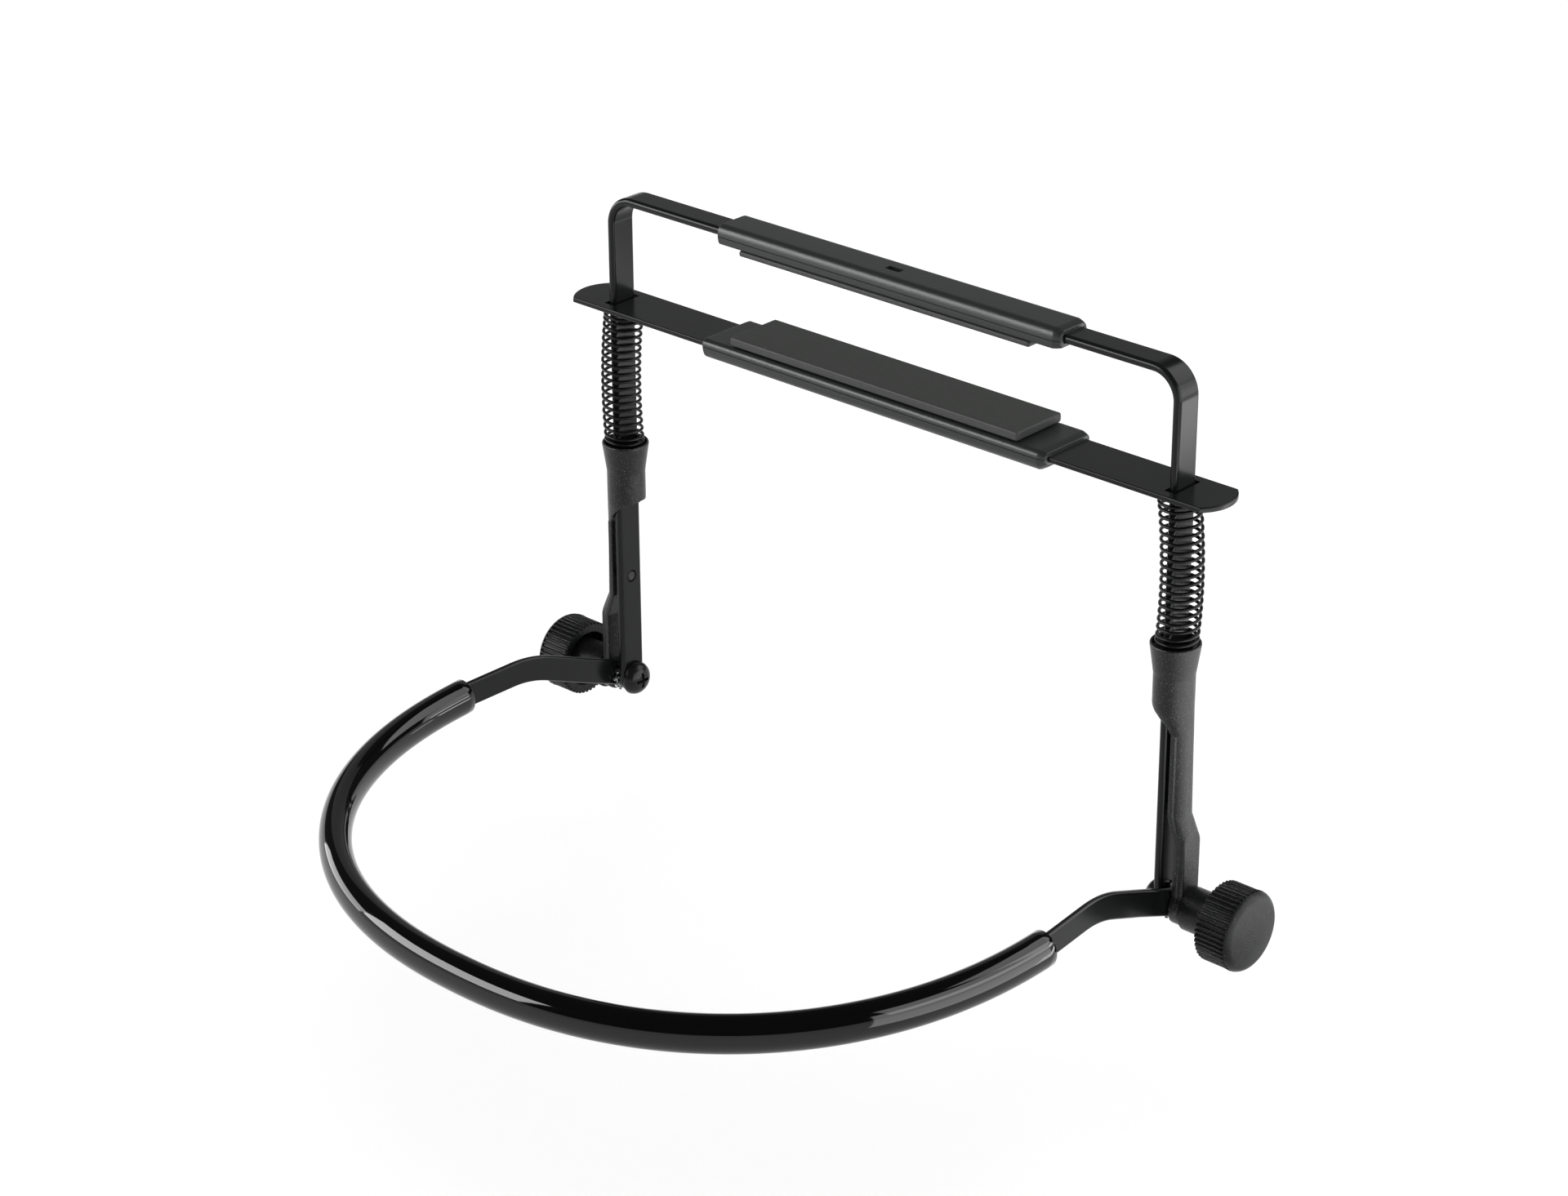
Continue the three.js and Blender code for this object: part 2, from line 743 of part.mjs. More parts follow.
function knobBody() {
  const start = knobStart;
  const ringStart = start + knobHubLength;
  const web = ringStart + knobRecessDepth;
  const cap = ringStart + knobRibLength;
  const rootRadius = knobRibDiameter / 2 - knobRibDepth;
  const capRadius = knobDiameter / 2;
  const insertRadius = insertDiameter / 2 + fitGap;
  const shankRadius = screwDiameter / 2 + fitGap;
  const insertEnd = start + insertLength + fitGap;
  const boreEnd = start + screwReach + fitGap;
  const point = (radius, x) => new THREE.Vector2(radius, x);
  const profile = [
    point(0, boreEnd),
    point(shankRadius, boreEnd),
    point(shankRadius, insertEnd),
    point(insertRadius, insertEnd),
    point(insertRadius, start),
    point(knobHubDiameter / 2, start),
    point(knobHubDiameter / 2, web),
    point(rootRadius - knobRingWall, web),
    point(rootRadius - knobRingWall, ringStart),
    point(rootRadius, ringStart),
    point(rootRadius, cap),
    point(capRadius, cap),
  ];
  for (let i = 0; i <= domeSteps; i++) {
    const angle = Math.PI / 2 * i / domeSteps;
    const inset = knobEdgeRadius * (1 - Math.cos(angle));
    profile.push(point(capRadius - inset, cap + knobEdgeRadius * Math.sin(angle)));
  }
  profile.push(point(0, cap + knobEdgeRadius + knobCrown));
  return revolveAlongX(profile);
}

function knobRibRing() {
  const rootRadius = knobRibDiameter / 2 - knobRibDepth;
  const outline = [];
  for (let i = 0; i < knobRibs; i++) {
    const pitch = 2 * Math.PI / knobRibs;
    const middle = pitch * i;
    const turns = [-1 / 2, -ribTopShare / 2, ribTopShare / 2];
    const radii = [rootRadius, knobRibDiameter / 2, knobRibDiameter / 2];
    turns.forEach((turn, j) => outline.push(new THREE.Vector2(
      radii[j] * Math.cos(middle + turn * pitch), radii[j] * Math.sin(middle + turn * pitch))));
  }
  const ringStart = knobStart + knobHubLength;
  const bore = roundAlongX(rootRadius - knobRingWall / 2, ringStart - overrun,
    ringStart + knobRibLength + overrun);
  return cut(alongX(outline, ringStart, ringStart + knobRibLength), bore);
}

function knob() {
  return join(knobBody(), knobRibRing()).translate(legX, 0, 0);
}

// Threaded bush moulded into the knob's hub
function knobInsert() {
  const bush = roundAlongX(insertDiameter / 2, knobStart, knobStart + insertLength);
  const bore = roundAlongX(screwDiameter / 2 + fitGap, knobStart - overrun,
    knobStart + insertLength + overrun);
  return cut(bush, bore).translate(legX, 0, 0);
}

// Neck bow: the bar stands on edge, rises from the pivots, levels off and runs round the neck

const riseSteps = 4;
const arcSteps = 15;

function neckHeight(reach) {
  const rise = Math.tan(THREE.MathUtils.degToRad(neckRiseAngle));
  const droop = Math.tan(THREE.MathUtils.degToRad(neckDroopAngle));
  const corner = neckRiseReach * rise;
  if (reach <= neckRiseReach - neckBendReach) return reach * rise;
  if (reach >= neckRiseReach + neckBendReach) return corner - (reach - neckRiseReach) * droop;
  const share = (reach - neckRiseReach + neckBendReach) / (2 * neckBendReach);
  const before = (neckRiseReach - neckBendReach) * rise;
  const after = corner - neckBendReach * droop;
  return (1 - share) ** 2 * before + 2 * share * (1 - share) * corner + share ** 2 * after;
}

function neckPlace(x, reach) {
  return new THREE.Vector3(x, -reach, neckHeight(reach));
}

function neckArm() {
  const places = [neckPlace(neckBarX, 0), neckPlace(neckBarX, neckFlareReach)];
  const across = (reach) => THREE.MathUtils.mapLinear(
    reach, neckFlareReach, neckStraightReach, neckBarX, neckHalfWidth);
  for (let i = 0; i <= riseSteps; i++) {
    const reach = neckRiseReach + neckBendReach * (2 * i / riseSteps - 1);
    places.push(neckPlace(across(reach), reach));
  }
  return places;
}

function neckArc() {
  const quarter = Array.from({ length: arcSteps }, (_, i) => {
    const angle = Math.PI / 2 * i / arcSteps;
    const power = 2 / neckArcExponent;
    return neckPlace(
      neckHalfWidth * Math.cos(angle) ** power,
      neckStraightReach + neckArcDepth * Math.sin(angle) ** power,
    );
  });
  return [...quarter, neckPlace(0, neckStraightReach + neckArcDepth)];
}

function bothSides(half) {
  const other = half.slice(0, -1).reverse().map((place) => new THREE.Vector3(-place.x, place.y, place.z));
  return [...half, ...other];
}

function onEdge(places, outline) {
  const directions = tangents(places);
  return loft(places.map((place, i) => {
    const along = directions[i];
    const up = zAxis.clone().addScaledVector(along, -along.z).normalize();
    const across = new THREE.Vector3().crossVectors(up, along);
    return station(outline, place, across, up);
  }));
}

function neckBow() {
  const places = bothSides([...neckArm(), ...neckArc()]);
  const outline = roundedRectangle(neckBarThickness, neckBarWidth, neckBarEdgeRadius, barSteps);
  const bar = onEdge(places, outline);
  const eyes = [];
  const holes = [];
  for (const side of [-1, 1]) {
    const x = side * neckBarX;
    const half = neckBarThickness / 2;
    eyes.push(roundAlongX(neckBarWidth / 2, x - half, x + half));
    holes.push(roundAlongX(screwDiameter / 2 + fitGap, x - neckBarThickness, x + neckBarThickness));
  }
  return cut(join(bar, ...eyes), ...holes);
}

const tubeSides = 16;
const tubeBoreSides = 12;

function neckTube() {
  const route = (reach) => bothSides([neckPlace(neckHalfWidth, reach), ...neckArc().slice(1)]);
  return cut(
    onEdge(route(tubeStartReach), oval(tubeWidth, tubeHeight, tubeSides)),
    onEdge(route(tubeStartReach - overrun),
      oval(tubeWidth - 2 * tubeWall, tubeHeight - 2 * tubeWall, tubeBoreSides)),
  );
}

// Materials

function material(name, colour, roughness, metalness) {
  const finish = new THREE.MeshStandardMaterial({ color: colour, roughness, metalness });
  finish.name = name;
  return finish;
}

const satinSteel = material('satin black steel', 0x26282a, 0.45, 0.4);
const sleeveVinyl = material('grey sleeve vinyl', 0x3a3d3c, 0.6, 0);
const padRubber = material('pad rubber', 0x45483f, 0.75, 0);
const springSteel = material('gloss black spring', 0x101112, 0.25, 0.6);
const mouldedBlack = material('grained black plastic', 0x232526, 0.6, 0);
const blackScrew = material('black screw', 0x191a1b, 0.35, 0.7);
const zinc = material('bright zinc', 0xb9bcbe, 0.3, 1);
const brass = material('brass bush', 0xb08d4a, 0.35, 1);
const glossTube = material('gloss black vinyl', 0x0b0b0c, 0.12, 0);

// Assembly

const holder = new THREE.Group();
holder.name = 'harmonica_holder';

function addPiece(name, geometry, finish) {
  const flat = geometry.index ? geometry.toNonIndexed() : geometry;
  flat.computeVertexNormals();
  const mesh = new THREE.Mesh(flat, finish);
  mesh.name = name;
  holder.add(mesh);
}

function addPair(name, geometry, finish) {
  addPiece(`right_${name}`, geometry, finish);
  addPiece(`left_${name}`, mirrored(geometry), finish);
}

addPiece('frame_bow', frameBow(), satinSteel);
addPiece('upper_grip_sleeve', upperSleeve(), sleeveVinyl);
addPiece('upper_grip_pad', gripPad(upperCore), padRubber);
addPiece('lower_jaw_plate', jawPlate(), satinSteel);
addPiece('lower_grip_sleeve', gripSleeve(lowerCore), sleeveVinyl);
addPiece('lower_grip_pad', gripPad(lowerCore), padRubber);
addPiece('neck_bow', neckBow(), satinSteel);
addPiece('neck_tube', neckTube(), glossTube);
addPair('spring', spring(), springSteel);
addPair('arm', arm(), mouldedBlack);
addPair('clamp_screw', clampScrew(), blackScrew);
addPair('lock_washer', lockWasher(), zinc);
addPair('knob', knob(), mouldedBlack);
addPair('knob_insert', knobInsert(), brass);

// Origin: inner side of the neck tube at the back of the neck
const backReach = neckStraightReach + neckArcDepth;
holder.position.set(0, backReach - tubeWidth / 2, -neckHeight(backReach));

export default holder;
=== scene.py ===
import json
import math

import bmesh
import bpy
from mathutils import Matrix, Vector


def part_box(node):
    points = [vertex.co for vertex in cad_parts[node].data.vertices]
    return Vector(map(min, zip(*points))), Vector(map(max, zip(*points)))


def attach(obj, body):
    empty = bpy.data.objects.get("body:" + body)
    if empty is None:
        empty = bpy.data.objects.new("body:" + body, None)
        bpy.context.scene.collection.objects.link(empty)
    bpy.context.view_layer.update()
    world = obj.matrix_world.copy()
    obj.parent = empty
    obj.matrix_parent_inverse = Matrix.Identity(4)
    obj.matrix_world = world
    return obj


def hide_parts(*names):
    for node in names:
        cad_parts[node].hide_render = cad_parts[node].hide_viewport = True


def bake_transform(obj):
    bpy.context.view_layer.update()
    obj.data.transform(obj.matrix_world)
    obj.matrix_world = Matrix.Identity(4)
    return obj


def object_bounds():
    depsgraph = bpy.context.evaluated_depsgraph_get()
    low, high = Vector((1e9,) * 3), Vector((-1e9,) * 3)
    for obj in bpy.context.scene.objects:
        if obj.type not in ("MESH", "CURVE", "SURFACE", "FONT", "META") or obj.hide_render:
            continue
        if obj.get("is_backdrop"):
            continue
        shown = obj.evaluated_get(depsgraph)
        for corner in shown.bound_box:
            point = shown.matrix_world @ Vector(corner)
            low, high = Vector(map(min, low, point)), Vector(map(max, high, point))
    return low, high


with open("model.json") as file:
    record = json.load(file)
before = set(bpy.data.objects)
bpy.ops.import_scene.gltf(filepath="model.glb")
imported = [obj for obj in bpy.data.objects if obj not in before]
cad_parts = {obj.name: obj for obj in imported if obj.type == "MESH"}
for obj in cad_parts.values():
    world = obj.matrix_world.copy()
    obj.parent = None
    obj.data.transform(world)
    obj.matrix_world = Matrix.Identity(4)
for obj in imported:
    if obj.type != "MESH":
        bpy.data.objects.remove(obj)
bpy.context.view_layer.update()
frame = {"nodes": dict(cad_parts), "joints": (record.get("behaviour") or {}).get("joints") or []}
mm = 0.001
hair = 0.001  # the radius, in millimetres, that a ring closes to
hardFold = 32  # degrees between faces from which an edge shows as hard

# the line through both clamp screws: pieces are drawn round it, in millimetres
pivot = Vector(next(j for j in frame["joints"] if j["name"] == "neck_tilt")["pos_m"])


def nodeBox(name):
    low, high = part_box(name)
    return (Vector(low) - pivot) / mm, (Vector(high) - pivot) / mm


# mesh tools

def makePiece(name, vertices, faces, sharpAngle=hardFold):
    weldGap = 0.002 * mm
    mesh = bpy.data.meshes.new(name)
    mesh.from_pydata([pivot + Vector(v) * mm for v in vertices], [], faces)
    build = bmesh.new()
    build.from_mesh(mesh)
    bmesh.ops.remove_doubles(build, verts=build.verts, dist=weldGap)
    bmesh.ops.recalc_face_normals(build, faces=build.faces)
    build.to_mesh(mesh)
    build.free()
    finishNormals(mesh, sharpAngle)
    piece = bpy.data.objects.new(name, mesh)
    bpy.context.scene.collection.objects.link(piece)
    return piece


def finishNormals(mesh, sharpAngle=hardFold):
    mesh.shade_smooth()
    mesh.set_sharp_from_angle(angle=math.radians(sharpAngle))


def skinRings(rings, capEnds=True):
    count = len(rings[0])
    vertices = [point for ring in rings for point in ring]
    faces = []
    for i in range(len(rings) - 1):
        for j in range(count):
            k = (j + 1) % count
            faces.append((i * count + j, i * count + k, (i + 1) * count + k, (i + 1) * count + j))
    if capEnds:
        last = (len(rings) - 1) * count
        faces.append(tuple(reversed(range(count))))
        faces.append(tuple(range(last, last + count)))
    return vertices, faces


def bakeModifiers(piece):
    graph = bpy.context.evaluated_depsgraph_get()
    old = piece.data
    piece.data = bpy.data.meshes.new_from_object(piece.evaluated_get(graph))
    piece.modifiers.clear()
    bpy.data.meshes.remove(old)
    return piece


def boolean(piece, tool, operation="DIFFERENCE"):
    step = piece.modifiers.new("boolean", "BOOLEAN")
    step.operation = operation
    step.solver = "EXACT"
    step.object = tool
    bakeModifiers(piece)
    bpy.data.objects.remove(tool)
    return piece


def weightNormals(piece, sharpAngle=hardFold):
    finishNormals(piece.data, sharpAngle)
    step = piece.modifiers.new("weighted normals", "WEIGHTED_NORMAL")
    step.keep_sharp = True
    step.weight = 60
    return bakeModifiers(piece)


def mirrorPiece(piece, name):
    copy = bpy.data.objects.new(name, piece.data.copy())
    bpy.context.scene.collection.objects.link(copy)
    copy.data.transform(Matrix.Scale(-1, 4, (1, 0, 0)))
    copy.data.flip_normals()
    return copy


def roundedRectangle(width, height, radius, steps):
    points = []
    for quarter, (across, up) in enumerate(((1, -1), (1, 1), (-1, 1), (-1, -1))):
        for i in range(steps + 1):
            angle = (quarter - 1 + i / steps) * math.pi / 2
            points.append((across * (width / 2 - radius) + radius * math.cos(angle),
                           up * (height / 2 - radius) + radius * math.sin(angle)))
    return points


def oval(width, height, steps):
    return [(width / 2 * math.cos(2 * math.pi * i / steps),
             height / 2 * math.sin(2 * math.pi * i / steps)) for i in range(steps)]


def placeRing(outline, origin, across, up):
    return [origin + across * x + up * y for x, y in outline]


def boxTool(low, high):
    vertices = [(x, y, z) for x in (low[0], high[0]) for y in (low[1], high[1]) for z in (low[2], high[2])]
    faces = [(0, 1, 3, 2), (4, 6, 7, 5), (0, 4, 5, 1), (2, 3, 7, 6), (0, 2, 6, 4), (1, 5, 7, 3)]
    return makePiece("tool", vertices, faces)


def rodTool(radius, start, end, height=0, steps=48):
    rings = [placeRing(oval(2 * radius, 2 * radius, steps), Vector((x, 0, height)), yAxis, zAxis)
             for x in (start, end)]
    return makePiece("tool", *skinRings(rings))


def latheAlongX(profile, steps):
    rings = []
    for x, radius in profile:
        rings.append(placeRing(oval(2 * radius, 2 * radius, steps), Vector((x, 0, 0)), yAxis, zAxis))
    return skinRings(rings)


def headings(places):
    result = []
    for i, place in enumerate(places):
        back = (place - places[max(i - 1, 0)]).normalized()
        ahead = (places[min(i + 1, len(places) - 1)] - place).normalized()
        result.append((back + ahead).normalized())
    return result


xAxis = Vector((1, 0, 0))
yAxis = Vector((0, 1, 0))
zAxis = Vector((0, 0, 1))


# material tools

def newSocket(group, name, direction, kind="NodeSocketFloat"):
    group.interface.new_socket(name, in_out=direction, socket_type=kind)


def addNode(tree, kind, sockets=None, **values):
    node = tree.nodes.new(kind)
    for key, value in values.items():
        setattr(node, key, value)
    for key, value in (sockets or {}).items():
        node.inputs[key].default_value = value
    return node


def buildGrainAndGlints():
    # fine moulded grain: a height for the bump, and a mask of painted glints, bright specks that stand in
    # for light catching the grain
    noiseLook = {"Detail": 3, "Roughness": 0.6}
    glintSpan = {"from": 0.75, "to": 0.8}  # noise levels: a share of 0 starts the painted glints at "from"
    group = bpy.data.node_groups.new("grainAndPaintedGlints", "ShaderNodeTree")
    for name in ("Grains per mm", "Glint Share"):
        newSocket(group, name, "INPUT")
    for name in ("Height", "Painted Glints"):
        newSocket(group, name, "OUTPUT")
    entry = addNode(group, "NodeGroupInput")
    leave = addNode(group, "NodeGroupOutput")
    place = addNode(group, "ShaderNodeTexCoord")
    size = addNode(group, "ShaderNodeMath", {1: 1 / mm}, operation="MULTIPLY")
    group.links.new(entry.outputs["Grains per mm"], size.inputs[0])
    noise = addNode(group, "ShaderNodeTexNoise", noiseLook)
    cells = addNode(group, "ShaderNodeTexVoronoi")
    for texture in (noise, cells):
        group.links.new(place.outputs["Object"], texture.inputs["Vector"])
        group.links.new(size.outputs[0], texture.inputs["Scale"])
    height = addNode(group, "ShaderNodeMath", operation="ADD")
    group.links.new(noise.outputs["Fac"], height.inputs[0])
    group.links.new(cells.outputs["Distance"], height.inputs[1])
    group.links.new(height.outputs[0], leave.inputs["Height"])
    low = addNode(group, "ShaderNodeMath", {0: glintSpan["from"]}, operation="SUBTRACT")
    group.links.new(entry.outputs["Glint Share"], low.inputs[1])
    paintedGlints = addNode(group, "ShaderNodeMapRange", {"From Max": glintSpan["to"]})
    group.links.new(low.outputs[0], paintedGlints.inputs["From Min"])
    group.links.new(noise.outputs["Fac"], paintedGlints.inputs["Value"])
    group.links.new(paintedGlints.outputs["Result"], leave.inputs["Painted Glints"])
    return group


def buildToneAndEdgeHighlight():
    # slow change of roughness over the surface, and a painted highlight that draws sharp edges a little
    # lighter
    noiseLook = {"Detail": 5, "Roughness": 0.65}
    edgeSpan = {"From Min": 0.53, "From Max": 0.62}  # pointiness
    roughnessSpan = {"To Min": 0.88, "To Max": 1.12}
    group = bpy.data.node_groups.new("toneAndEdgeHighlight", "ShaderNodeTree")
    for name in ("Color", "Edge Highlight Color"):
        newSocket(group, name, "INPUT", "NodeSocketColor")
    for name in ("Roughness", "Patch per mm", "Edge Highlight Amount"):
        newSocket(group, name, "INPUT")
    newSocket(group, "Color", "OUTPUT", "NodeSocketColor")
    newSocket(group, "Roughness", "OUTPUT")
    entry = addNode(group, "NodeGroupInput")
    leave = addNode(group, "NodeGroupOutput")
    place = addNode(group, "ShaderNodeTexCoord")
    size = addNode(group, "ShaderNodeMath", {1: 1 / mm}, operation="MULTIPLY")
    group.links.new(entry.outputs["Patch per mm"], size.inputs[0])
    noise = addNode(group, "ShaderNodeTexNoise", noiseLook)
    group.links.new(place.outputs["Object"], noise.inputs["Vector"])
    group.links.new(size.outputs[0], noise.inputs["Scale"])
    surface = addNode(group, "ShaderNodeNewGeometry")
    edge = addNode(group, "ShaderNodeMapRange", edgeSpan)
    group.links.new(surface.outputs["Pointiness"], edge.inputs["Value"])
    highlit = addNode(group, "ShaderNodeMath", operation="MULTIPLY")
    group.links.new(edge.outputs["Result"], highlit.inputs[0])
    group.links.new(entry.outputs["Edge Highlight Amount"], highlit.inputs[1])
    patchyHighlight = addNode(group, "ShaderNodeMath", operation="MULTIPLY")
    group.links.new(highlit.outputs[0], patchyHighlight.inputs[0])
    group.links.new(noise.outputs["Fac"], patchyHighlight.inputs[1])
    # the painted edge highlight, broken up by the noise, is mixed into the colour
    mix = addNode(group, "ShaderNodeMix", data_type="RGBA")
    group.links.new(patchyHighlight.outputs[0], mix.inputs["Factor"])
    group.links.new(entry.outputs["Color"], mix.inputs["A"])
    group.links.new(entry.outputs["Edge Highlight Color"], mix.inputs["B"])
    group.links.new(mix.outputs["Result"], leave.inputs["Color"])
    shift = addNode(group, "ShaderNodeMapRange", roughnessSpan)
    group.links.new(noise.outputs["Fac"], shift.inputs["Value"])
    rough = addNode(group, "ShaderNodeMath", operation="MULTIPLY")
    group.links.new(shift.outputs["Result"], rough.inputs[0])
    group.links.new(entry.outputs["Roughness"], rough.inputs[1])
    group.links.new(rough.outputs[0], leave.inputs["Roughness"])
    return group


grainAndPaintedGlints = buildGrainAndGlints()
toneAndEdgeHighlight = buildToneAndEdgeHighlight()


def makeFinish(name, look):
    finish = bpy.data.materials.new(name)
    finish.use_nodes = True
    tree = finish.node_tree
    shader = tree.nodes["Principled BSDF"]
    shader.inputs["Specular IOR Level"].default_value = look.get("specular", 0.5)
    shader.inputs["Metallic"].default_value = look.get("metal", 0)
    tone = addNode(tree, "ShaderNodeGroup", node_tree=toneAndEdgeHighlight)
    tone.inputs["Color"].default_value = (*look["color"], 1)
    # the edge colour is a painted highlight on the sharply curved edges
    tone.inputs["Edge Highlight Color"].default_value = (*look["edgeHighlightColor"], 1)
    tone.inputs["Roughness"].default_value = look["roughness"]
    tone.inputs["Patch per mm"].default_value = look["patchPerMm"]
    tone.inputs["Edge Highlight Amount"].default_value = look["edgeHighlightAmount"]
    tree.links.new(tone.outputs["Roughness"], shader.inputs["Roughness"])
    grain = addNode(tree, "ShaderNodeGroup", node_tree=grainAndPaintedGlints)
    grain.inputs["Grains per mm"].default_value = look["grainsPerMm"]
    grain.inputs["Glint Share"].default_value = look.get("glintShare", 0)
    color = tone.outputs["Color"]
    # painted glints: bright specks mixed into the base colour stand in for light catching the grain
    if look.get("glintColor"):
        mix = addNode(tree, "ShaderNodeMix", data_type="RGBA")
        mix.inputs["B"].default_value = (*look["glintColor"], 1)
        tree.links.new(grain.outputs["Painted Glints"], mix.inputs["Factor"])
        tree.links.new(color, mix.inputs["A"])
        color = mix.outputs["Result"]
    tree.links.new(color, shader.inputs["Base Color"])
    bump = addNode(tree, "ShaderNodeBump", {"Strength": look["bump"], "Distance": look["bumpDepth"] * mm})
    tree.links.new(grain.outputs["Height"], bump.inputs["Height"])
    tree.links.new(bump.outputs["Normal"], shader.inputs["Normal"])
    return finish


# each finish's edge colour is a painted highlight: its edges are drawn lighter to stand in for light on
# their rounding
satinSteel = makeFinish("satin black steel", {
    "color": (0.0055, 0.006, 0.0062), "edgeHighlightColor": (0.03, 0.03, 0.03), "roughness": 0.21, "specular": 0.18,
    "patchPerMm": 0.04, "edgeHighlightAmount": 0.15, "grainsPerMm": 2.5, "bump": 0.1, "bumpDepth": 0.04,
})
gripVinyl = makeFinish("grip vinyl", {
    "color": (0.014, 0.0155, 0.015), "edgeHighlightColor": (0.05, 0.05, 0.05), "roughness": 0.37, "specular": 0.39,
    "patchPerMm": 0.08, "edgeHighlightAmount": 0.3, "grainsPerMm": 1.2, "bump": 0.2, "bumpDepth": 0.08,
})
padRubber = makeFinish("pad rubber", {
    "color": (0.024, 0.026, 0.024), "edgeHighlightColor": (0.05, 0.05, 0.045), "roughness": 0.62, "specular": 0.4,
    "patchPerMm": 0.1, "edgeHighlightAmount": 0.3, "grainsPerMm": 1.5, "bump": 0.35, "bumpDepth": 0.1,
})
glossVinyl = makeFinish("gloss black vinyl", {
    "color": (0.0015, 0.0015, 0.0016), "edgeHighlightColor": (0.01, 0.01, 0.01), "roughness": 0.055, "specular": 0.36,
    "patchPerMm": 0.03, "edgeHighlightAmount": 0.1, "grainsPerMm": 0.12, "bump": 0.05, "bumpDepth": 0.1,
})
springSteel = makeFinish("black spring steel", {
    "color": (0.003, 0.003, 0.003), "edgeHighlightColor": (0.01, 0.01, 0.01), "roughness": 0.25, "specular": 0.15,
    "patchPerMm": 0.1, "edgeHighlightAmount": 0.2, "grainsPerMm": 2, "bump": 0.05, "bumpDepth": 0.03,
})
# the bright flecks of the moulded plastic are painted glints, light on the grain painted into its colour
mouldedLook = {
    "color": (0.0045, 0.0048, 0.005), "edgeHighlightColor": (0.03, 0.03, 0.03), "roughness": 0.3, "specular": 0.26,
    "patchPerMm": 0.06, "edgeHighlightAmount": 0.3, "grainsPerMm": 3.4, "bump": 0.8, "bumpDepth": 0.07,
    "glintShare": 0.15, "glintColor": (0.29, 0.295, 0.3),
}
mouldedBlack = makeFinish("grained black plastic", mouldedLook)
knobBlack = makeFinish("knob black plastic", {**mouldedLook, "specular": 0.13, "glintShare": 0.11})
screwBlack = makeFinish("black screw steel", {
    "color": (0.006, 0.006, 0.006), "edgeHighlightColor": (0.08, 0.08, 0.08), "roughness": 0.24, "specular": 0.2,
    "patchPerMm": 0.2, "edgeHighlightAmount": 0.5, "grainsPerMm": 3, "bump": 0.05, "bumpDepth": 0.03,
})
brightZinc = makeFinish("bright zinc", {
    "color": (0.62, 0.63, 0.64), "edgeHighlightColor": (0.8, 0.8, 0.8), "roughness": 0.26, "metal": 1,
    "patchPerMm": 0.3, "edgeHighlightAmount": 0.4, "grainsPerMm": 3, "bump": 0.08, "bumpDepth": 0.03,
})
bushBrass = makeFinish("bush brass", {
    "color": (0.66, 0.5, 0.22), "edgeHighlightColor": (0.8, 0.7, 0.45), "roughness": 0.3, "metal": 1,
    "patchPerMm": 0.3, "edgeHighlightAmount": 0.4, "grainsPerMm": 3, "bump": 0.08, "bumpDepth": 0.03,
})
print("finishes made")


def dress(piece, finish, body=None, node=None):
    piece.data.materials.clear()
    piece.data.materials.append(finish)
    if body:
        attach(piece, body)
    if node:
        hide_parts(node)
    return piece


def recolor(node, finish):
    for place in frame["nodes"][node].material_slots:
        place.material = finish


# the flat bars of the frame and the neck bow; endAngle is where the rounded end stops, in degrees
bar = {"width": 8.4, "thickness": 2.5, "edge": 1.1, "edgeSteps": 8, "endAngle": 90, "endSteps": 10}
neckBar = {"width": 7.5, "thickness": 1.6, "edge": 0.6, "edgeSteps": 5, "endAngle": 84, "endSteps": 10}
legX = nodeBox("frame_bow")[1].x - bar["thickness"] / 2  # the middle of the right leg
pegHeight = 32.5  # of the peg that holds each arm to its leg
screwHole = 2.75  # radius


def barSection(stock, width):
    # the edge's radius gives way where the bar narrows to its rounded end
    edgeShare = 0.45
    edge = min(stock["edge"], width * edgeShare)
    return roundedRectangle(stock["thickness"], width, edge, stock["edgeSteps"])


def endAngles(stock):
    # round the bar's end, from just off its tip
    tip = 4
    spread = stock["endAngle"] - tip
    return [math.radians(tip + spread * i / (stock["endSteps"] - 1)) for i in range(stock["endSteps"])]


def frameBow():
    shape = {"bendRadius": 9, "bendSteps": 18, "pegHole": 1.8, "drillReach": 3}
    top = nodeBox("frame_bow")[1].z - bar["thickness"] / 2
    bend = shape["bendRadius"] - bar["thickness"] / 2
    rings = []

    def add(x, z, inward, width=bar["width"]):
        rings.append(placeRing(barSection(bar, width), Vector((x, 0, z)), inward, yAxis))

    # height and width of the bar, up the rounded end of a leg
    foot = [(-bar["width"] / 2 * math.cos(angle), bar["width"] * math.sin(angle))
            for angle in endAngles(bar)]
    for z, width in foot:
        add(-legX, z, xAxis, width)
    for side in (-1, 1):
        for i in range(shape["bendSteps"] + 1):
            turn = math.pi / 2 * i / shape["bendSteps"]
            angle = math.pi - turn if side < 0 else math.pi / 2 - turn
            inward = -Vector((math.cos(angle), 0, math.sin(angle)))
            add(side * (legX - bend) + bend * math.cos(angle), top - bend + bend * math.sin(angle), inward)
    for z, width in reversed(foot):
        add(legX, z, -xAxis, width)
    piece = makePiece("steelFrame", *skinRings(rings))
    for x in (-legX, legX):
        drill = rodTool(shape["pegHole"], x - shape["drillReach"], x + shape["drillReach"], pegHeight)
        boolean(piece, drill)
    return dress(weightNormals(piece), satinSteel, "clamp_frame", "frame_bow")


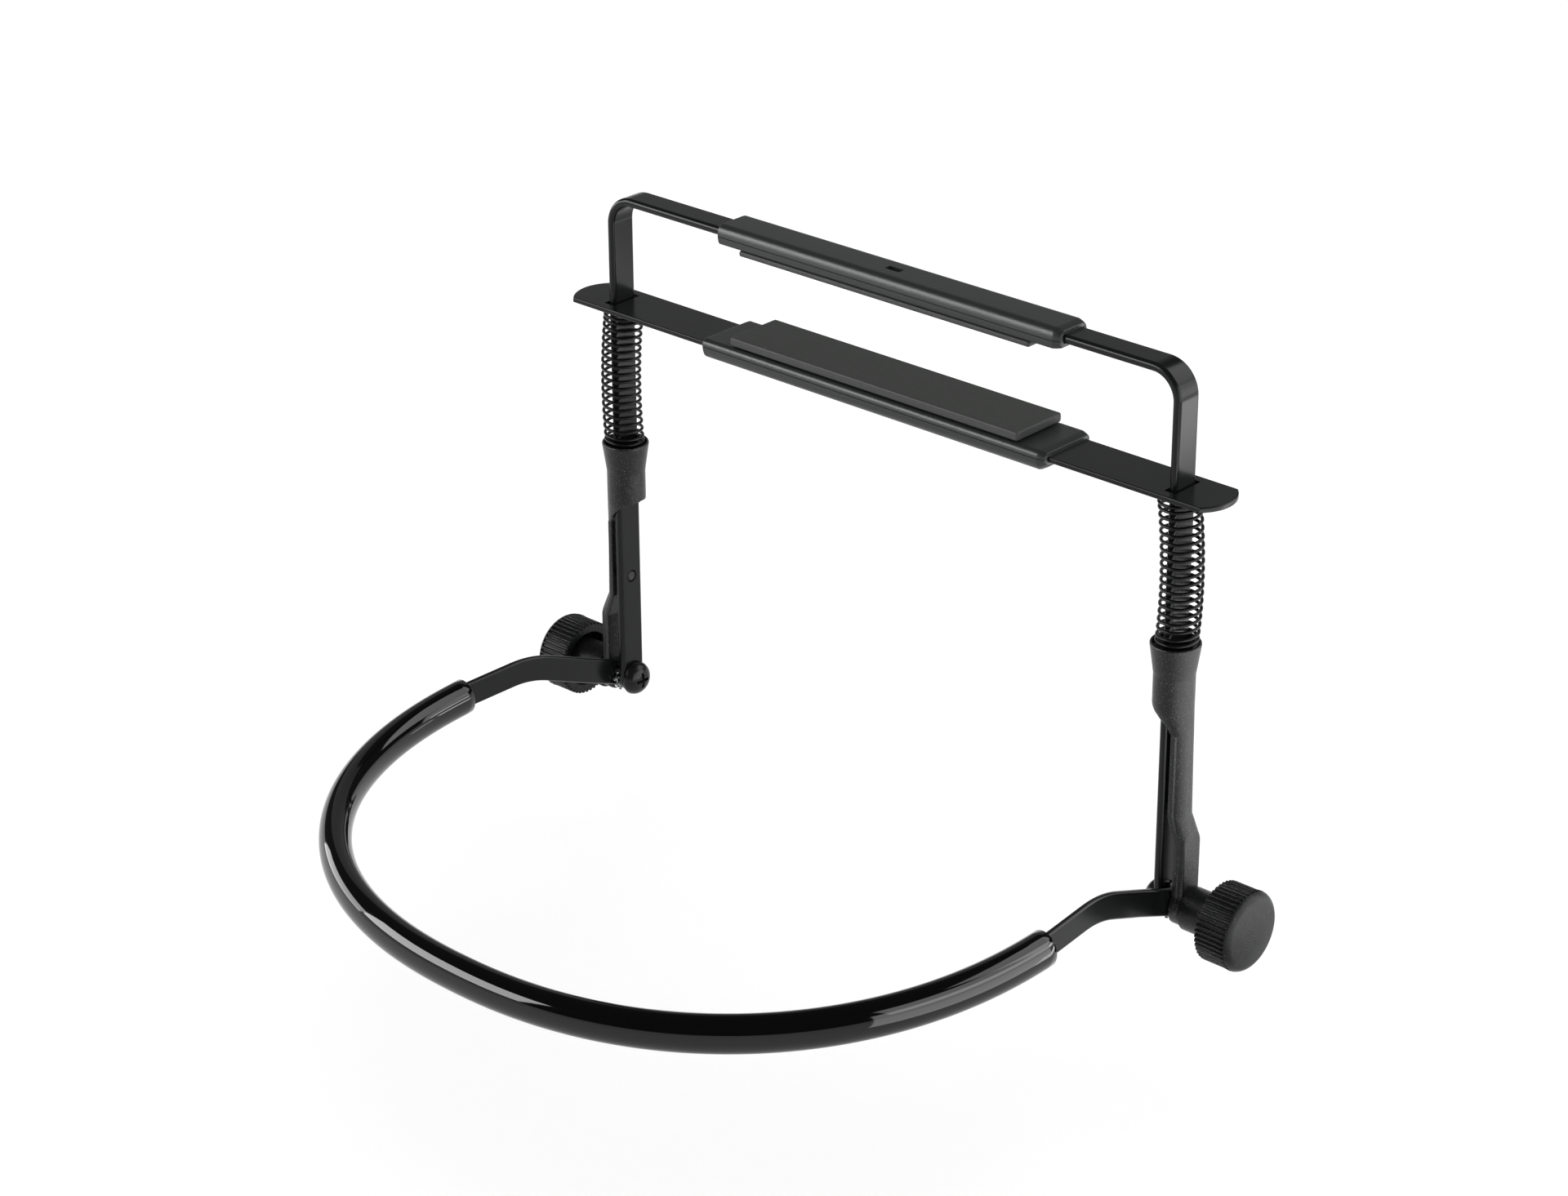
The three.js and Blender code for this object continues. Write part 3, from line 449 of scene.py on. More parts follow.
def jawPlate():
    shape = {"endRadius": 11, "arcSteps": 30, "edge": 0.35, "edgeSteps": 4,
             "slotWide": 3.6, "slotLong": 10.4, "cutPast": 2}
    low, high = nodeBox("lower_jaw_plate")
    halfWidth = high.y
    reach = math.asin(halfWidth / shape["endRadius"])
    outline = []
    for turn in (0, math.pi):
        centre = (high.x - shape["endRadius"]) * math.cos(turn)
        for i in range(shape["arcSteps"] + 1):
            angle = turn - reach + 2 * reach * i / shape["arcSteps"]
            outline.append((centre + shape["endRadius"] * math.cos(angle),
                            shape["endRadius"] * math.sin(angle)))
    edge = shape["edge"]
    rings = []
    # the lower edge is rounded from -90 degrees to 0, and the upper one from 0 to 90
    for start, level in ((-90, low.z + edge), (0, high.z - edge)):
        for i in range(shape["edgeSteps"] + 1):
            angle = math.radians(90 * i / shape["edgeSteps"] + start)
            inset = edge * (1 - math.cos(angle))
            z = level + edge * math.sin(angle)
            narrow = (halfWidth - inset) / halfWidth
            rings.append([Vector((x * ((abs(x) - inset) / abs(x)), y * narrow, z)) for x, y in outline])
    piece = makePiece("slidingPlate", *skinRings(rings))
    halfWide, halfLong, past = shape["slotWide"] / 2, shape["slotLong"] / 2, shape["cutPast"]
    for x in (-legX, legX):
        boolean(piece, boxTool((x - halfWide, -halfLong, low.z - past),
                               (x + halfWide, halfLong, high.z + past)))
    return dress(weightNormals(piece), satinSteel, "lower_jaw", "lower_jaw_plate")


def curveBetween(start, control, end, steps, withEnd=False):
    points = []
    for i in range(steps + withEnd):
        t = i / steps
        points.append(tuple((1 - t) ** 2 * a + 2 * t * (1 - t) * b + t * t * c
                            for a, b, c in zip(start, control, end)))
    return points


def sleeveOutline(side, crown, base, groove):
    # half-round shoulders over a flat crown, a thin seam on both long sides, a narrower base
    shape = {"flat": 0.62, "foot": 0.82, "seam": -0.12, "grooveFloor": 0.4, "steps": 10}
    flat, foot, seam = shape["flat"] * side, shape["foot"] * side, shape["seam"] * base
    floor, steps = groove * shape["grooveFloor"], shape["steps"]
    right = curveBetween((foot, -base), (side, -base), (side, seam - groove), steps)
    right += [(side, seam - groove), (side - groove, seam - floor), (side - groove, seam + floor)]
    right += curveBetween((side, seam + groove), (side, crown), (flat, crown), steps)
    right += [(flat, crown)]
    return right + [(-y, z) for y, z in reversed(right)]


def gripSleeve(name, node, core):
    shape = {"leftEnd": 1, "rightEnd": 2.5, "endCurve": 1.6, "endWall": 0.9, "seam": 0.18, "tuck": 2.5,
             "steps": 6}
    low, high = nodeBox(node)
    middle = core["height"]
    side = (high.y - low.y) / 2
    crown, base = high.z - middle, middle - low.z
    if core["crownSide"] < 0:
        crown, base = base, crown
    halfWidth, halfThick = core["width"] / 2, core["thickness"] / 2
    full = sleeveOutline(side, crown, base, shape["seam"])
    small = [(y * (halfWidth + shape["endWall"]) / side,
              z * (halfThick + shape["endWall"]) / (crown if z > 0 else base)) for y, z in full]

    def hug(point):
        # the same direction from the middle, brought in to the core's surface
        nearZero = 1e-6
        scale = min(halfWidth / max(abs(point[0]), nearZero), halfThick / max(abs(point[1]), nearZero))
        return (point[0] * scale, point[1] * scale)

    def blendOutline(share):
        return [(a[0] + (b[0] - a[0]) * share, a[1] + (b[1] - a[1]) * share) for a, b in zip(small, full)]

    def endStations(x, inward, bevel):
        tight = [hug(point) for point in small]
        stations = [(x + inward * shape["tuck"], tight), (x, tight)]
        for i in range(shape["steps"] + 1):
            share = i / shape["steps"]
            stations.append((x + inward * bevel * share ** shape["endCurve"], blendOutline(share)))
        return stations

    stations = endStations(low.x, 1, shape["leftEnd"]) + endStations(high.x, -1, shape["rightEnd"])[::-1]
    rings = [[Vector((x, y, middle + core["crownSide"] * z)) for y, z in outline] for x, outline in stations]
    return makePiece(name, *skinRings(rings), sharpAngle=sleeveFold)


# what each sleeve is pushed over, and the side that its crown is on
upperCore = {"width": 8.4, "thickness": 2.5, "height": 148.45, "crownSide": 1}
lowerCore = {"width": 16, "thickness": 1.5, "height": 116.65, "crownSide": -1}
sleeveFold = 38  # degrees from which an edge of a sleeve shows as hard


def upperSleeve():
    window = {"middle": 2.6, "long": 4.9, "wide": 2.2, "cutPast": 2}
    piece = gripSleeve("upperGrip", "upper_grip_sleeve", upperCore)
    top = nodeBox("upper_grip_sleeve")[1].z + window["cutPast"]
    seat = upperCore["height"] + upperCore["thickness"] / 2
    x, halfLong, halfWide = window["middle"], window["long"] / 2, window["wide"] / 2
    boolean(piece, boxTool((x - halfLong, -halfWide, seat), (x + halfLong, halfWide, top)))
    piece = weightNormals(piece, sleeveFold)
    return dress(piece, gripVinyl, "clamp_frame", "upper_grip_sleeve")


def lowerSleeve():
    piece = gripSleeve("lowerGrip", "lower_grip_sleeve", lowerCore)
    piece = weightNormals(piece, sleeveFold)
    return dress(piece, gripVinyl, "lower_jaw", "lower_grip_sleeve")


def gripPad(name, node, body):
    shape = {"edge": 0.6, "steps": 6, "cornerShare": 0.49}
    low, high = nodeBox(node)
    width, height = high.y - low.y, high.z - low.z
    half = (high.x - low.x) / 2
    middle = (low + high) / 2
    edge = shape["edge"]
    ends = []
    for i in range(shape["steps"] + 1):
        angle = math.pi / 2 * i / shape["steps"]
        ends.append((-half + edge * (1 - math.cos(angle)), edge * (1 - math.sin(angle))))
    rings = []
    for x, inset in ends + [(-x, inset) for x, inset in reversed(ends)]:
        corner = min(edge, shape["cornerShare"] * (height - 2 * inset))
        outline = roundedRectangle(width - 2 * inset, height - 2 * inset, corner, shape["steps"])
        rings.append(placeRing(outline, Vector((middle.x + x, 0, middle.z)), yAxis, zAxis))
    piece = makePiece(name, *skinRings(rings))
    return dress(weightNormals(piece), padRubber, body, node)


def coilSpring(side):
    shape = {"turns": 19, "deadTurns": 1.5, "deadPitch": 1.4, "wire": 0.9, "steps": 26, "sides": 10,
             "bend": 0.9, "bendSteps": 6, "bow": 1.5, "topLean": 0.9, "hardFold": 60}
    low, high = nodeBox("right_spring")
    radius = (high.y - low.y - shape["wire"]) / 2
    bend = shape["bend"]
    rise = bend + shape["wire"]
    foot, top = low.z + rise, high.z - rise
    openTurns = shape["turns"] - 2 * shape["deadTurns"]
    openPitch = (top - foot - 2 * shape["deadTurns"] * shape["deadPitch"]) / openTurns

    def heightAt(turn):
        dead = min(turn, shape["deadTurns"])
        opened = min(max(turn - shape["deadTurns"], 0), openTurns)
        closing = max(turn - shape["deadTurns"] - openTurns, 0)
        return foot + (dead + closing) * shape["deadPitch"] + opened * openPitch

    def lean(z):
        # a bow to the side between the ends, and a lean of the upper end
        share = (z - low.z) / (high.z - low.z)
        return 4 * shape["bow"] * share * (1 - share) - shape["topLean"] * share

    def at(turn):
        angle = 2 * math.pi * turn
        z = heightAt(turn)
        return Vector((legX + radius * math.cos(angle) + lean(z), radius * math.sin(angle), z))

    first, last = at(0), at(shape["turns"])
    places = [first + Vector((0, -bend, -rise))]
    for i in range(shape["bendSteps"]):
        angle = math.pi / 2 * i / shape["bendSteps"]
        places.append(first + Vector((0, -bend * math.cos(angle), -bend * (1 - math.sin(angle)))))
    places += [at(i / shape["steps"]) for i in range(shape["turns"] * shape["steps"] + 1)]
    for i in range(shape["bendSteps"] - 1, -1, -1):
        angle = math.pi / 2 * i / shape["bendSteps"]
        places.append(last + Vector((0, bend * math.cos(angle), bend * (1 - math.sin(angle)))))
    places.append(last + Vector((0, bend, rise)))
    outline = oval(shape["wire"], shape["wire"], shape["sides"])
    rings = []
    for place, along in zip(places, headings(places)):
        outward = Vector((place.x - legX - lean(place.z), place.y, 0)).normalized()
        across = (outward - along * outward.dot(along)).normalized()
        rings.append(placeRing(outline, place, across, along.cross(across)))
    piece = makePiece("rightCoil", *skinRings(rings), sharpAngle=shape["hardFold"])
    node = "right_spring"
    if side < 0:
        right = piece
        piece = mirrorPiece(right, "leftCoil")
        bpy.data.objects.remove(right)
        node = "left_spring"
    dress(piece, springSteel, None, node)
    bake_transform(piece)
    return piece


for makeThis in (frameBow, jawPlate, upperSleeve, lowerSleeve):
    makeThis()
gripPad("upperPad", "upper_grip_pad", "clamp_frame")
gripPad("lowerPad", "lower_grip_pad", "lower_jaw")
coilSpring(1)
coilSpring(-1)
print("frame, jaw, grips and springs made")


def mouldedArm():
    # x is measured outward from the middle of the leg, and heights from the pivot
    shape = {"cup": 13.4, "cupTop": 74.6, "recess": 12.1, "cupDepth": 2.4, "lip": 0.6, "flare": 8.3,
             "tube": 11, "mouthTop": 57.3, "mouthBend": (0.6, 54.5), "mouthFoot": 49.8, "rimUpper": 2.45,
             "rimWide": 8, "rimDeep": 1.5, "ribWide": 7.4, "ribRound": 3.1, "ribTop": 5.8, "ribFoot": 6.3,
             "jogTop": 26.3, "jogFoot": 19.2, "rimLower": 4.8, "facet": 8, "footRound": 2.6,
             "foot": 10.6, "peg": 1.5, "pegReach": 5, "channelWide": 4.6, "channelDeep": 2, "legGap": 0.3,
             "widening": 2}
    steps = {"corner": 14, "tube": 6, "lip": 5, "mouth": 14, "recess": 64, "foot": 72}
    skin = {"voxel": 0.2, "smooth": 0.5, "rounds": 3}
    past = {"side": 12, "top": 80, "bore": 90, "hole": 20, "wide": 14}  # how far the cutters reach
    ribEnd = shape["mouthFoot"] - shape["widening"]  # from here the rib widens to the tube
    widenHigh = shape["mouthTop"] - shape["mouthFoot"] + shape["widening"]

    def section(inner, crest, width, radius, z):
        outline = roundedRectangle(crest - inner, width, radius, steps["corner"])
        return placeRing(outline, Vector((legX + (inner + crest) / 2, 0, z)), xAxis, yAxis)

    def roundSection(diameter, z):
        return section(-diameter / 2, diameter / 2, diameter, diameter / 2 - hair, z)

    ribInner = shape["rimUpper"] - shape["ribRound"]
    footInner = shape["rimLower"] - shape["ribRound"]
    footCrest = shape["facet"] + shape["footRound"] / 2
    rings = [
        section(footInner, footCrest, shape["ribWide"], shape["footRound"], 0),
        section(footInner, footCrest, shape["ribWide"], shape["footRound"], shape["jogFoot"]),
        section(ribInner, shape["ribFoot"], shape["ribWide"], shape["ribRound"], shape["jogTop"]),
        section(ribInner, shape["ribTop"], shape["ribWide"], shape["ribRound"], ribEnd),
    ]
    tubeRadius = shape["tube"] / 2
    for i in range(steps["tube"] + 1):
        share = i / steps["tube"]
        ease = share * share * (3 - 2 * share)
        inner = ribInner + (-tubeRadius - ribInner) * ease
        crest = shape["ribTop"] + (tubeRadius - shape["ribTop"]) * ease
        width = shape["ribWide"] + (shape["tube"] - shape["ribWide"]) * ease
        radius = shape["ribRound"] + (tubeRadius - hair - shape["ribRound"]) * ease
        rings.append(section(inner, crest, width, min(radius, width / 2 - hair), ribEnd + widenHigh * share))
    flareFoot = shape["cupTop"] - shape["lip"] - shape["flare"]
    rings.append(roundSection(shape["tube"], flareFoot))
    rings.append(roundSection(shape["cup"], flareFoot + shape["flare"]))
    for i in range(1, steps["lip"] + 1):
        angle = math.pi / 2 * i / steps["lip"]
        rings.append(roundSection(shape["cup"] - shape["lip"] * (1 - math.cos(angle)),
                                  flareFoot + shape["flare"] + shape["lip"] * math.sin(angle)))
    piece = makePiece("rightArm", *skinRings(rings))

    def slab(outline, half):
        rings = [[Vector((legX + x, y, z)) for x, z in outline] for y in (-half, half)]
        return makePiece("tool", *skinRings(rings))

    # lips on both sides of the rib, and the round foot
    lips = [(shape["rimUpper"], shape["mouthFoot"]), (shape["rimUpper"], shape["jogTop"]),
            (shape["rimLower"], shape["jogFoot"]), (shape["rimLower"], 0)]
    outer = [(x + shape["rimDeep"], z) for x, z in lips]
    boolean(piece, slab(lips + outer[::-1], shape["rimWide"] / 2), "UNION")
    footRod = rodTool(shape["foot"] / 2, legX + shape["rimLower"], legX + shape["facet"],
                      steps=steps["foot"])
    boolean(piece, footRod, "UNION")
    # the side view trims it: flat facet outside, slanting mouth of the tube, inner edge along the leg
    mouth = curveBetween((-tubeRadius, shape["mouthTop"]), shape["mouthBend"],
                         (shape["rimUpper"], shape["mouthFoot"]), steps["mouth"], withEnd=True)
    side = [(shape["facet"], -past["side"]), (shape["facet"], past["top"]), (-past["side"], past["top"]),
            (-past["side"], shape["mouthTop"])]
    side += mouth + [(shape["rimUpper"], shape["jogTop"]), (shape["rimLower"], shape["jogFoot"]),
                     (shape["rimLower"], -past["side"])]
    boolean(piece, slab(side, past["wide"]), "INTERSECT")
    # room for the leg, the spring's seat, the channel behind the rib and the screw's hole
    halfThick = bar["thickness"] / 2
    halfWide = bar["width"] / 2
    gap = shape["legGap"]
    boolean(piece, boxTool((legX - halfThick - gap, -halfWide - gap, shape["jogTop"]),
                           (legX + halfThick + gap, halfWide + gap, past["bore"])))
    seatOutline = oval(shape["recess"], shape["recess"], steps["recess"])
    seat = [placeRing(seatOutline, Vector((legX, 0, z)), xAxis, yAxis)
            for z in (shape["cupTop"] - shape["cupDepth"], past["bore"])]
    boolean(piece, makePiece("tool", *skinRings(seat)))
    halfChannel = shape["channelWide"] / 2
    channelEnd = legX + shape["rimUpper"] + shape["channelDeep"]
    boolean(piece, boxTool((legX, -halfChannel, shape["jogTop"] + shape["rimDeep"]),
                           (channelEnd, halfChannel, shape["mouthTop"])))
    boolean(piece, rodTool(screwHole, legX, legX + past["hole"]))
    boolean(piece, rodTool(shape["peg"], legX - halfThick, legX + shape["pegReach"], pegHeight), "UNION")
    remesh = piece.modifiers.new("even skin", "REMESH")
    remesh.mode = "VOXEL"
    remesh.voxel_size = skin["voxel"] * mm
    soften = piece.modifiers.new("moulded edges", "SMOOTH")
    soften.factor = skin["smooth"]
    soften.iterations = skin["rounds"]
    bakeModifiers(piece)
    piece.data.shade_smooth()
    return piece


rightArm = mouldedArm()
leftArm = mirrorPiece(rightArm, "leftArm")
dress(rightArm, mouldedBlack, "clamp_frame", "right_arm")
dress(leftArm, mouldedBlack, "clamp_frame", "left_arm")
print("arms made")


def neckPath():
    # reach is measured back from the pivot; the bar rises, bends to a slight droop and rounds the neck
    shape = {"riseAngle": 22, "riseReach": 35, "bendReach": 7, "droopAngle": 2, "straightReach": 58.2,
             "halfWidth": 104.7, "arcDepth": 103.1, "exponent": 2.19, "flareReach": 15,
             "barX": 101.45, "risePlaces": (0, 5, 10, 15, 20, 26), "straightPlaces": (45, 49, 53),
             "arcSteps": 60, "bendSteps": 14}
    rise = math.tan(math.radians(shape["riseAngle"]))
    droop = math.tan(math.radians(shape["droopAngle"]))
    corner = shape["riseReach"] * rise

    def height(reach):
        start, end = shape["riseReach"] - shape["bendReach"], shape["riseReach"] + shape["bendReach"]
        if reach <= start:
            return reach * rise
        if reach >= end:
            return corner - (reach - shape["riseReach"]) * droop
        t = (reach - start) / (end - start)
        after = corner - shape["bendReach"] * droop
        return (1 - t) ** 2 * start * rise + 2 * t * (1 - t) * corner + t * t * after

    def across(reach):
        share = (reach - shape["flareReach"]) / (shape["straightReach"] - shape["flareReach"])
        return shape["barX"] + (shape["halfWidth"] - shape["barX"]) * max(share, 0)

    def at(x, reach):
        return Vector((x, -reach, height(reach)))

    reaches = list(shape["risePlaces"])
    for i in range(shape["bendSteps"] + 1):
        reaches.append(shape["riseReach"] + shape["bendReach"] * (2 * i / shape["bendSteps"] - 1))
    reaches += shape["straightPlaces"]
    arm = [at(across(reach), reach) for reach in reaches]
    power = 2 / shape["exponent"]
    arc = []
    for i in range(shape["arcSteps"] + 1):
        angle = math.pi / 2 * i / shape["arcSteps"]
        arc.append(at(shape["halfWidth"] * max(math.cos(angle), 0) ** power,
                      shape["straightReach"] + shape["arcDepth"] * math.sin(angle) ** power))
    arc[-1].x = 0
    return arm, arc


def bothSides(half):
    return half + [Vector((-p.x, p.y, p.z)) for p in reversed(half[:-1])]


def onEdgeRings(places, outlines):
    rings = []
    for place, along, outline in zip(places, headings(places), outlines):
        up = (zAxis - along * along.z).normalized()
        rings.append(placeRing(outline, place, up.cross(along), up))
    return rings


def neckBow():
    arm, arc = neckPath()
    places = bothSides(arm + arc)
    along = (arm[1] - arm[0]).normalized()
    half = neckBar["width"] / 2
    ends, endOutlines = [], []
    for angle in endAngles(neckBar):
        ends.append(arm[0] - along * half * math.cos(angle))
        endOutlines.append(barSection(neckBar, neckBar["width"] * math.sin(angle)))
    tail = [Vector((-p.x, p.y, p.z)) for p in reversed(ends)]
    fullWidth = [barSection(neckBar, neckBar["width"])] * len(places)
    outlines = endOutlines + fullWidth + endOutlines[::-1]
    piece = makePiece("neckBar", *skinRings(onEdgeRings(ends + places + tail, outlines)))
    return dress(weightNormals(piece), satinSteel, "neck_yoke", "neck_bow")


def neckTube():
    shape = {"wide": 8.8, "tall": 10.3, "wall": 0.85, "start": 59.3, "sides": 40, "lip": 0.3,
             "leastStep": 1, "tuckRings": 4, "hardFold": 50}
    arc = neckPath()[1]
    start = Vector((arc[0].x, -shape["start"], arc[0].z))
    beyond = shape["start"] + shape["leastStep"]
    places = bothSides([start] + [place for place in arc if -place.y > beyond])

    def tube(thin):
        outline = oval(shape["wide"] - 2 * thin, shape["tall"] - 2 * thin, shape["sides"])
        return onEdgeRings(places, [outline] * len(places))

    # each mouth: a rounded lip, and a short way back in along the wall's inner side
    outer, inner, soft = tube(0), tube(shape["wall"]), tube(shape["lip"])
    back = Vector((0, -shape["lip"], 0))
    outer[0] = [point + back for point in outer[0]]
    outer[-1] = [point + back for point in outer[-1]]
    tuck = shape["tuckRings"]
    rings = [inner[tuck], inner[0], soft[0]] + outer + [soft[-1], inner[-1], inner[-1 - tuck]]
    piece = makePiece("vinylTube", *skinRings(rings), sharpAngle=shape["hardFold"])
    return dress(piece, glossVinyl, "neck_yoke", "neck_tube")


neckBow()
neckTube()
print("neck bow and tube made")


def clampScrew():
    shape = {"headRadius": 4.9, "headHigh": 3.6, "rim": 0.3, "domeCurve": 0.8, "domeSteps": 14,
             "rimInset": 0.25, "rimEase": (0.12, 0.07), "shank": 2.45, "tip": 0.4, "cross": 0.95,
             "span": 4.6, "deep": 1.6, "cutPast": 1, "bevel": 0.12, "bevelFold": 45, "steps": 64}
    low, high = nodeBox("right_clamp_screw")
    seat = low.x + shape["headHigh"]
    shank, head, rim, tip = shape["shank"], shape["headRadius"], shape["rim"], shape["tip"]
    down, inward = shape["rimEase"]
    # places along the axis with their radius: tip, shank, the head's eased rim, then its dome
    profile = [(high.x, hair), (high.x, shank - tip), (high.x - tip, shank), (seat, shank),
               (seat, head - shape["rimInset"]), (seat - down, head - inward), (seat - rim, head)]
    for i in range(1, shape["domeSteps"] + 1):
        angle = math.radians(90 * i / shape["domeSteps"])
        profile.append((seat - rim - (shape["headHigh"] - rim) * math.sin(angle),
                        max(head * math.cos(angle) ** shape["domeCurve"], hair)))
    piece = makePiece("rightScrew", *latheAlongX(profile, shape["steps"]))
    halfCross, halfSpan = shape["cross"] / 2, shape["span"] / 2
    for y, z in ((halfCross, halfSpan), (halfSpan, halfCross)):
        boolean(piece, boxTool((low.x - shape["cutPast"], -y, -z), (low.x + shape["deep"], y, z)))
    bevel = piece.modifiers.new("soft edges", "BEVEL")
    bevel.width = shape["bevel"] * mm
    bevel.segments = 2
    bevel.limit_method = "ANGLE"
    bevel.angle_limit = math.radians(shape["bevelFold"])
    bakeModifiers(piece)
    return weightNormals(piece)


rightScrew = clampScrew()
leftScrew = mirrorPiece(rightScrew, "leftScrew")
dress(rightScrew, screwBlack, "clamp_frame", "right_clamp_screw")
dress(leftScrew, screwBlack, "clamp_frame", "left_clamp_screw")


def clampKnob():
    shape = {"hub": 6, "hubLong": 9.1, "ringWall": 2.3, "recess": 6.4, "ribLong": 8.4, "root": 10.45,
             "ribHigh": 0.55, "ribs": 46, "ribRun": 0.9, "ribRunSteps": 3, "cap": 11.15, "edge": 2.6,
             "edgeSteps": 12, "edgeEnd": 82, "ribGap": 0.06, "domeSteps": 7, "boreDeep": 12,
             "boreBevel": 0.3, "hubCorner": (0.4, 0.12), "webCorner": (0.8, 0.25),
             "ringCorner": (0.3, 0.08), "rootCorner": (0.35, 0.1), "shoulder": 1, "hardFold": 50}
    low, high = nodeBox("right_knob")
    start = low.x
    ring = start + shape["hubLong"]
    web = ring + shape["recess"]
    ribEnd = ring + shape["ribLong"]
    hub, root, bore, edge = shape["hub"], shape["root"], screwHole, shape["edge"]
    inner = root - shape["ringWall"]
    deep = start + shape["boreDeep"]
    bevel = shape["boreBevel"]
    # a corner: how far its round reaches, and how far in its middle point lies
    (hubRound, hubEase), (webRound, webEase) = shape["hubCorner"], shape["webCorner"]
    (ringRound, ringEase), (rootRound, rootEase) = shape["ringCorner"], shape["rootCorner"]
    # along the axis, radius, and how much of the ribs shows there: bore, hub, hollow back, ring
    profile = [(deep, hair, 0), (deep, bore, 0), (start + bevel, bore, 0), (start, bore + bevel, 0),
               (start, hub - hubRound, 0), (start + hubEase, hub - hubEase, 0), (start + hubRound, hub, 0),
               (web - webRound, hub, 0), (web - webEase, hub + webEase, 0), (web, hub + webRound, 0),
               (web, inner, 0), (ring + ringRound, inner, 0), (ring + ringEase, inner + ringEase, 0),
               (ring, inner + ringRound, 0), (ring, root - rootRound, 0),
               (ring + ringEase, root - rootEase, 0.5), (ring + ringRound, root, 1),
               (ribEnd - shape["shoulder"], root, 1)]
    # the ribs run a little way over the rounded shoulder of the cap
    startAngle = math.asin(shape["ribRun"] / edge)
    for i in range(shape["ribRunSteps"] + 1):
        angle = startAngle * i / shape["ribRunSteps"]
        shoulder = shape["cap"] - edge * (1 - math.cos(angle))
        profile.append((ribEnd + edge * math.sin(angle), root, (shoulder - root) / shape["ribHigh"]))
    plain = startAngle + shape["ribGap"]
    spread = math.radians(shape["edgeEnd"]) - startAngle - shape["ribGap"]
    for i in range(shape["edgeSteps"] + 1):
        angle = plain + spread * i / shape["edgeSteps"]
        profile.append((ribEnd + edge * math.sin(angle), shape["cap"] - edge * (1 - math.cos(angle)), 0))
    rimX, rimRadius = profile[-1][:2]
    for i in range(1, shape["domeSteps"] + 1):
        share = i / shape["domeSteps"]
        rise = 1 - (1 - share) ** 2
        profile.append((rimX + (high.x - rimX) * rise, max(rimRadius * (1 - share), hair), 0))
    # one rib and half the gaps beside it: place as a share of the pitch, and height as a share of the rib
    ribShape = ((-0.5, 0), (-0.3, 0), (-0.2, 0.85), (-0.1, 1), (0.1, 1), (0.2, 0.85), (0.3, 0))
    rings = []
    for x, radius, amount in profile:
        points = []
        for i in range(shape["ribs"]):
            for place, lift in ribShape:
                angle = 2 * math.pi * (i + place) / shape["ribs"]
                r = radius + shape["ribHigh"] * lift * amount
                points.append(Vector((x, r * math.cos(angle), r * math.sin(angle))))
        rings.append(points)
    return makePiece("rightKnob", *skinRings(rings), sharpAngle=shape["hardFold"])


rightKnob = clampKnob()
leftKnob = mirrorPiece(rightKnob, "leftKnob")
dress(rightKnob, knobBlack, "right_clamp", "right_knob")
dress(leftKnob, knobBlack, "left_clamp", "left_knob")
for side in ("left", "right"):
    recolor(f"{side}_lock_washer", brightZinc)
    recolor(f"{side}_knob_insert", bushBrass)
print("screws, washers and knobs made")


# studio: pale floor, soft lamps and the camera at the photograph's angle

